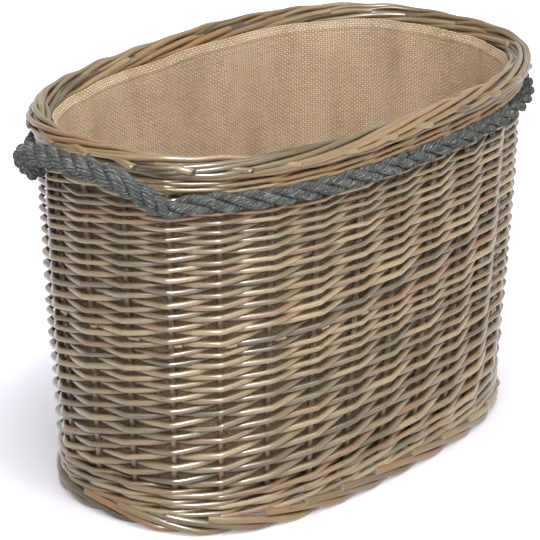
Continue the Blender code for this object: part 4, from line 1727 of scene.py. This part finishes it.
@dataclass
class Rope:
    """One laid rope: it lies in the groove all round and stands off both ends as the handles."""

    shape: BasketShape
    diameter: float = 0.020
    dip: float = 0.008
    lead: float = 0.045
    join_x: float = -0.0376
    join_gap: float = 0.004
    span: float = 0.172
    reach: float = 0.068
    left_tilt_deg: float = 41.6
    right_tilt_deg: float = -41.6
    rounding: float = 0.55
    rise: float = 1.1
    clearance: float = 0.0003
    strand_count: int = 3
    strand_radius: float = 0.0052
    lay_radius: float = 0.0059
    lay_pitch: float = 0.088
    handle_pitch: float = 0.054
    handle_swell: float = 0.13
    yarn_count: int = 6
    yarn_radius: float = 0.00162
    yarn_pitch: float = 0.022
    step: float = 0.0023
    blend_start: float = 0.100
    blend_end: float = 0.080
    seed: int = 83
    search_points: int = 4001
    join_between: Range = (0.6, 0.9)
    loop_points: int = 241
    soft_run: float = 0.008
    soft_points: int = 9
    handle_from: float = 0.01
    handle_over: float = 0.03
    turn_drift: Drift = Drift(0.10, 10)
    girth_drift: Drift = Drift(0.07, 4)
    yarn_tones: Range = (0.1, 1.0)
    blue_rarity: int = 3
    core_tone: float = 0.1
    core_warmth: float = 0.3
    # Painted shade on each strand's core, inside its yarns.
    core_shade: float = 0.8
    sides: int = 5
    far_away: float = 10.0

    def __post_init__(self) -> None:
        """Take the rope's height and its roots from the frame."""
        radius = self.diameter / 2
        self.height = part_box("top_wale")[0].z - self.clearance - radius
        self.groove = radius + self.clearance - self.shape.weaver_thickness
        self.root_offset = radius + self.clearance
        self.root_height = self.height - self.dip
        self.root_x = self.find_root_x()

    def find_root_x(self) -> float:
        """Return how far out the handles' hinge axes lie."""
        share = self.root_share()
        return float(self.shape.point(np.array([share]), self.root_height, self.root_offset)[0, 0])

    def root_share(self) -> float:
        """Find where the right handle's +Y root lies.

        Returns:
            Its share of the way round.
        """
        shares = np.linspace(0.0, 0.25, self.search_points)
        found = self.shape.point(shares, self.root_height, self.root_offset)[:, 1]
        return float(np.interp(self.span / 2, found, shares))

    def wall_line(self, start: float, end: float) -> np.ndarray:
        """Find the rope's middle line along the wall.

        Args:
            start: The share where it starts.
            end: The share where it ends.

        Returns:
            Its points.
        """
        root = self.root_share()
        roots = np.array([root, 0.5 - root, 0.5 + root, 1.0 - root])
        perimeter = self.shape.top_oval.perimeter
        count = int(abs(end - start) * perimeter / self.step)
        share = np.linspace(start, end, count)
        away = np.abs(np.mod(share[:, None] - roots[None] + 0.5, 1.0) - 0.5).min(1)
        leave = smooth_step(1 - away * perimeter / self.lead)
        height = self.height - self.dip * leave
        return self.shape.point(share, height, self.groove + (self.root_offset - self.groove) * leave)

    def loop_line(self, side: float, tilt_deg: float) -> np.ndarray:
        """Find a handle's middle line, from its -Y root to its +Y root.

        Args:
            side: 1 for the right handle and -1 for the left one.
            tilt_deg: How far it stands up.

        Returns:
            Its points.
        """
        angle = np.linspace(0.0, math.pi, self.loop_points)
        across = -np.sign(np.cos(angle)) * np.abs(np.cos(angle)) ** self.rounding
        out = self.reach * np.sin(angle) ** self.rise
        tilt = math.radians(tilt_deg)
        x = side * (self.root_x + out * math.cos(tilt))
        z = self.root_height + out * math.sin(tilt)
        return np.stack([x, self.span / 2 * across, z], 1)

    def centre_line(self) -> tuple[np.ndarray, np.ndarray]:
        """Return the rope's whole middle line from the join round to the join, evenly stepped.

        Returns:
            The points, and how much each belongs to a handle, from 0 to 1.
        """
        root = self.root_share()
        shares = np.linspace(*self.join_between, self.search_points)
        join = float(np.interp(self.join_x, self.shape.point(shares, self.height, 0.0)[:, 0], shares))
        half_gap = self.join_gap / 2 / self.shape.top_oval.perimeter
        parts = [
            self.wall_line(join - half_gap, 0.5 + root),
            self.loop_line(-1.0, self.left_tilt_deg)[1:-1],
            self.wall_line(0.5 - root, root),
            self.loop_line(1.0, self.right_tilt_deg)[::-1][1:-1],
            self.wall_line(1.0 - root, join + half_gap),
        ]
        raw = np.concatenate(parts)
        length = run_length(raw)
        count = int(length[-1] / self.step)
        even = np.linspace(0.0, length[-1], count)
        line = np.stack([np.interp(even, length, raw[:, axis]) for axis in range(3)], 1)
        soft = self.soft_points
        kernel = np.exp(-((np.arange(-soft, soft + 1) * self.step / self.soft_run) ** 2) / 2)
        kernel /= kernel.sum()
        padded = np.pad(line, ((soft, soft), (0, 0)), "reflect", reflect_type="odd")
        line = np.stack([np.convolve(padded[:, axis], kernel, "valid") for axis in range(3)], 1)
        in_handle = smooth_step((np.abs(line[:, 0]) - self.root_x + self.handle_from) / self.handle_over)
        return line, in_handle

    @staticmethod
    def frames(line: np.ndarray) -> tuple[np.ndarray, np.ndarray]:
        """Find two directions square to a line at each point, which turn as little as they can.

        Args:
            line: The line's points.

        Returns:
            The two directions at each point.
        """
        along = unit(np.gradient(line, axis=0))
        first = np.zeros_like(line)
        start = np.array([0.0, 0.0, 1.0])
        first[0] = unit(start - along[0] * (start @ along[0]))
        for index in range(1, len(line)):
            moved = first[index - 1] - along[index] * (first[index - 1] @ along[index])
            first[index] = moved / np.linalg.norm(moved)
        return first, np.cross(along, first)

    def wound(self, line: np.ndarray, angle: np.ndarray, radius: np.ndarray | float) -> np.ndarray:
        """Wind a line round another.

        Args:
            line: The line in the middle.
            angle: The angle at each of its points.
            radius: The distance from it.

        Returns:
            The wound line's points.
        """
        first, second = self.frames(line)
        radius = np.broadcast_to(radius, len(line))[:, None]
        return line + radius * (first * np.cos(angle)[:, None] + second * np.sin(angle)[:, None])

    def strand(self, hand: Weaver, centre: np.ndarray, swell: np.ndarray) -> list[Rod]:
        """Twist the yarns of one strand round its core.

        Args:
            hand: The maker's hand.
            centre: The strand's middle line.
            swell: How much thicker it is at each point than along the wall.

        Returns:
            The core and the yarns.
        """
        count = len(centre)
        core_radius = (self.strand_radius - self.yarn_radius) * swell
        yarns = [Rod(centre, core_radius, self.core_tone, self.core_warmth, self.core_shade)]
        yarn_turn = -np.arange(count) * math.tau * self.step / self.yarn_pitch
        for yarn in range(self.yarn_count):
            around = yarn_turn + math.tau * yarn / self.yarn_count + hand.wander(count, self.turn_drift)
            path = self.wound(centre, around, core_radius)
            radii = self.yarn_radius * swell * (1 + hand.wander(count, self.girth_drift))
            tone = float(hand.dice.uniform(*self.yarn_tones))
            yarns.append(Rod(path, radii, tone, float(hand.dice.random() ** self.blue_rarity)))
        return yarns

    def build(self, sweep: RodSweep, finish: bpy.types.Material) -> None:
        """Make the rope in four pieces that meet in the middle of each handle and of the back.

        Args:
            sweep: The rod maker.
            finish: The rope's material.
        """
        hand = Weaver(self.seed)
        line, in_handle = self.centre_line()
        pitch = self.lay_pitch + (self.handle_pitch - self.lay_pitch) * in_handle
        turn = np.cumsum(math.tau * self.step / pitch)
        swell = 1 + self.handle_swell * in_handle
        count = len(line)
        left = int(np.argmin(line[:, 0]))
        right = int(np.argmax(line[:, 0]))
        back = int(np.argmin(np.abs(line[:, 0]) + self.far_away * (line[:, 1] < 0)))
        cuts = [0, left, back, right, count - 1]
        yarns = []
        for strand in range(self.strand_count):
            angle = turn + math.tau * strand / self.strand_count
            yarns += self.strand(hand, self.wound(line, angle, self.lay_radius * swell), swell)
        pieces = (
            ("rope_front_left_lay", "left_handle", -1.0, ["rope_front_left", "left_handle_rope"]),
            ("rope_back_left_lay", "left_handle", 1.0, ["rope_back"]),
            ("rope_back_right_lay", "right_handle", 1.0, ["right_handle_rope"]),
            ("rope_front_right_lay", "right_handle", -1.0, ["rope_front_right"]),
        )
        for (name, body, side, nodes), first, last in zip(pieces, cuts, cuts[1:]):
            part = slice(first, last + 1)
            rods = [
                Rod(yarn.points[part], yarn.radii[part], yarn.tone, yarn.warmth, yarn.recess_shade) for yarn in yarns
            ]
            piece = sweep.lay(name, rods, finish, self.sides)
            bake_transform(piece)
            declare(piece, nodes)


@dataclass(frozen=True)
class Lamp:
    """A soft square lamp that looks at the basket, or one that only shows as a sheen."""

    name: str
    azimuth_deg: float
    elevation_deg: float
    distance: float
    power: float
    size: float
    sheen_only: bool = False


@dataclass
class Studio:
    """A pale floor with a painted shade near the basket, soft light and the camera."""

    azimuth_deg: float = -50.5
    elevation_deg: float = 20.7
    distance: float = 3.394
    target: tuple[float, float, float] = (0.0, 0.0, 0.2137)
    lens: float = 204.9
    sensor: float = 36.0
    roll: float = 0.0056
    shift: tuple[float, float] = (-0.0291, -0.0231)
    lamps: tuple[Lamp, ...] = (
        Lamp("key", -8.0, 48.0, distance=2.2, power=15.5, size=0.9),
        Lamp("strip", -64.0, 40.0, distance=2.2, power=105.0, size=0.42, sheen_only=True),
        Lamp("front", -52.0, 28.0, distance=2.4, power=13.5, size=1.0),
        Lamp("top", -60.0, 72.0, distance=2.4, power=22.0, size=1.6),
    )
    floor_half: float = 6.0
    floor_colour: Colour = (0.95, 0.95, 0.98)
    floor_roughness: float = 0.9
    # The floor's glow is bluish and dims near the basket, which paints a shade round and under it; far off it
    # is full, for a white ground.
    glow_colour: Colour = (0.86, 0.86, 1.0)
    glow_shade_edges: Range = (0.24, 0.55)
    glow_shade_levels: Range = (0.27, 1.0)
    fill_from: float = -0.5
    fill_strength: float = 0.46
    dark_strength: float = 0.06
    dark_azimuth_deg: float = -122.0

    @staticmethod
    def direction(azimuth_deg: float, elevation_deg: float) -> Vector:
        """Point towards a viewer.

        Args:
            azimuth_deg: The viewer's azimuth, from -Y towards +X.
            elevation_deg: The viewer's elevation.

        Returns:
            The direction.
        """
        azimuth = math.radians(azimuth_deg)
        elevation = math.radians(elevation_deg)
        level = math.cos(elevation)
        return Vector((math.sin(azimuth) * level, -math.cos(azimuth) * level, math.sin(elevation)))

    def camera(self) -> None:
        """Place the camera at the photograph's angle."""
        data = bpy.data.cameras.new("camera")
        data.sensor_width = self.sensor
        data.lens = self.lens
        data.shift_x, data.shift_y = self.shift
        camera = bpy.data.objects.new("camera", data)
        bpy.context.scene.collection.objects.link(camera)
        back = self.direction(self.azimuth_deg, self.elevation_deg)
        camera.location = Vector(self.target) + back * self.distance
        turn = (-back).to_track_quat("-Z", "Y") @ Quaternion((0.0, 0.0, 1.0), self.roll)
        camera.rotation_euler = turn.to_euler()
        bpy.context.scene.camera = camera

    def hang(self, lamp: Lamp) -> None:
        """Hang a lamp that looks at the basket.

        Args:
            lamp: The lamp.
        """
        data = bpy.data.lights.new(lamp.name, "AREA")
        data.energy = lamp.power
        data.size = lamp.size
        light = bpy.data.objects.new(lamp.name, data)
        bpy.context.scene.collection.objects.link(light)
        back = self.direction(lamp.azimuth_deg, lamp.elevation_deg)
        light.location = Vector(self.target) + back * lamp.distance
        light.rotation_euler = (-back).to_track_quat("-Z", "Y").to_euler()
        light.visible_diffuse = not lamp.sheen_only

    def world(self) -> None:
        """Light the scene evenly, and show white behind it."""
        world = bpy.data.worlds.new("pale_room")
        bpy.context.scene.world = world
        world.use_nodes = True
        tree = world.node_tree
        background = tree.nodes["Background"]
        background.inputs["Color"].default_value = (1.0, 1.0, 1.0, 1.0)
        seen = seen_directly(tree)
        place = tree.nodes.new("ShaderNodeTexCoord")
        turned = tree.nodes.new("ShaderNodeVectorMath")
        turned.operation = "DOT_PRODUCT"
        tree.links.new(place.outputs["Generated"], turned.inputs[0])
        turned.inputs[1].default_value = self.direction(self.dark_azimuth_deg, 0.0)
        shade = tree.nodes.new("ShaderNodeMapRange")
        tree.links.new(turned.outputs["Value"], shade.inputs["Value"])
        shade.inputs["From Min"].default_value = self.fill_from
        shade.inputs["To Min"].default_value = self.fill_strength
        shade.inputs["To Max"].default_value = self.dark_strength
        strength = tree.nodes.new("ShaderNodeMapRange")
        tree.links.new(seen, strength.inputs["Value"])
        tree.links.new(shade.outputs["Result"], strength.inputs["To Min"])
        strength.inputs["To Max"].default_value = 1.0
        tree.links.new(strength.outputs["Result"], background.inputs["Strength"])

    def floor(self) -> None:
        """Lay a pale floor that keeps the basket's shadow, with a painted shade where its glow dims near the
        basket.
        """
        mesh = bpy.data.meshes.new("floor")
        half = self.floor_half
        corners = [(-half, -half, 0), (half, -half, 0), (half, half, 0), (-half, half, 0)]
        mesh.from_pydata(corners, [], [(0, 1, 2, 3)])
        floor = bpy.data.objects.new("floor", mesh)
        bpy.context.scene.collection.objects.link(floor)
        material = bpy.data.materials.new("pale_floor")
        material.use_nodes = True
        tree = material.node_tree
        surface = tree.nodes["Principled BSDF"]
        surface.inputs["Base Color"].default_value = (*self.floor_colour, 1.0)
        surface.inputs["Roughness"].default_value = self.floor_roughness
        surface.inputs["Emission Color"].default_value = (*self.glow_colour, 1.0)
        place = tree.nodes.new("ShaderNodeTexCoord")
        away = tree.nodes.new("ShaderNodeVectorMath")
        away.operation = "LENGTH"
        tree.links.new(place.outputs["Object"], away.inputs[0])
        # Painted shade: the glow grows from dim near the basket to full far off.
        level = tree.nodes.new("ShaderNodeMapRange")
        level.interpolation_type = "SMOOTHSTEP"
        tree.links.new(away.outputs["Value"], level.inputs["Value"])
        level.inputs["From Min"].default_value = self.glow_shade_edges[0]
        level.inputs["From Max"].default_value = self.glow_shade_edges[1]
        level.inputs["To Min"].default_value = self.glow_shade_levels[0]
        level.inputs["To Max"].default_value = self.glow_shade_levels[1]
        glow = tree.nodes.new("ShaderNodeMath")
        glow.operation = "MULTIPLY"
        tree.links.new(level.outputs["Result"], glow.inputs[1])
        tree.links.new(seen_directly(tree), glow.inputs[0])
        tree.links.new(glow.outputs["Value"], surface.inputs["Emission Strength"])
        mesh.materials.append(material)

    def build(self) -> None:
        """Set up the whole studio."""
        bpy.context.scene.view_settings.view_transform = "Standard"
        self.camera()
        for lamp in self.lamps:
            self.hang(lamp)
        self.world()
        self.floor()


def seen_directly(tree: bpy.types.NodeTree) -> Socket:
    """Tell the rays that come from the camera, a reflection or clear glass from the others.

    Args:
        tree: The node tree.

    Returns:
        1 for such a ray, and 0 for any other.
    """
    rays = tree.nodes.new("ShaderNodeLightPath")
    total = rays.outputs["Is Camera Ray"]
    for name in ("Is Glossy Ray", "Is Transmission Ray"):
        adder = tree.nodes.new("ShaderNodeMath")
        adder.operation = "ADD"
        adder.use_clamp = True
        tree.links.new(total, adder.inputs[0])
        tree.links.new(rays.outputs[name], adder.inputs[1])
        total = adder.outputs["Value"]
    return total


def main() -> None:
    """Build the basket's looks from the floor up."""
    logging.basicConfig(level=logging.INFO, format="%(message)s")
    Studio().build()
    shape = BasketShape()
    sweep = RodSweep()
    weaver = WillowFinish("weaver_willow").material()
    stout = WillowFinish(
        "border_willow", pale=paint(166, 142, 98), deep=paint(86, 72, 44), warm=paint(166, 120, 76), wax=0.5
    ).material()
    # The stakes' finish is a darker copy of the willow: painted shade, as they stand within the weave.
    stake = WillowFinish("stake_willow", pale=paint(150, 128, 98), deep=paint(92, 74, 52)).material()
    base = WillowFinish("base_willow", gloss=0.5).material()
    hessian = HessianFinish("hessian").material()
    hemp = RopeFinish("rope").material()
    FootBorder(shape).build(sweep, stout)
    BaseMat(shape).build(sweep, base, stake)
    Stakes(shape).build(sweep, stake)
    pairing = RoundStroke(outside_stakes=1, slope=0.0026)
    bands = (
        WovenBand(
            shape, "upsett_wale", rows=3, radius=0.0034, stroke=RoundStroke(outside_stakes=2, slope=0.0036),
            seed=101, row_drift=Drift(size=0.0004, points=10), extra_low=0.0040,
        ),
        WovenBand(
            shape, "left_end_packing", rows=2, radius=0.0033, stroke=pairing,
            seed=113, top_row_share=0.64, first_bay=11.5, last_bay=16.5,
        ),
        WovenBand(
            shape, "right_end_packing", rows=2, radius=0.0033, stroke=pairing,
            seed=127, top_row_share=0.64, first_bay=-1.5, last_bay=1.5,
        ),
    )
    for band in bands:
        band.build(sweep, weaver, Slot.WEAVER)
    lower = RandedBand(shape, "lower_side_weave", rows=11, butt_radius=0.0041, tip_radius=0.0027, seed=103)
    lower.build(sweep, weaver, stubs=False)
    upper = RandedBand(shape, "upper_side_weave", rows=13, butt_radius=0.0036, tip_radius=0.0024, seed=107)
    upper.build(sweep, weaver, stubs=True)
    top_wale = WovenBand(
        shape, "top_wale", rows=2, radius=0.0027, stroke=RoundStroke(outside_stakes=2, slope=0.0026),
        seed=109, proud=0.0015, extra_low=0.0035,
    )
    top_wale.build(sweep, stout, Slot.BORDER)
    TopBorder(shape).build(sweep, stout)
    Liner(shape).build(hessian)
    Rope(shape).build(sweep, hemp)


if __name__ == "__main__":
    main()
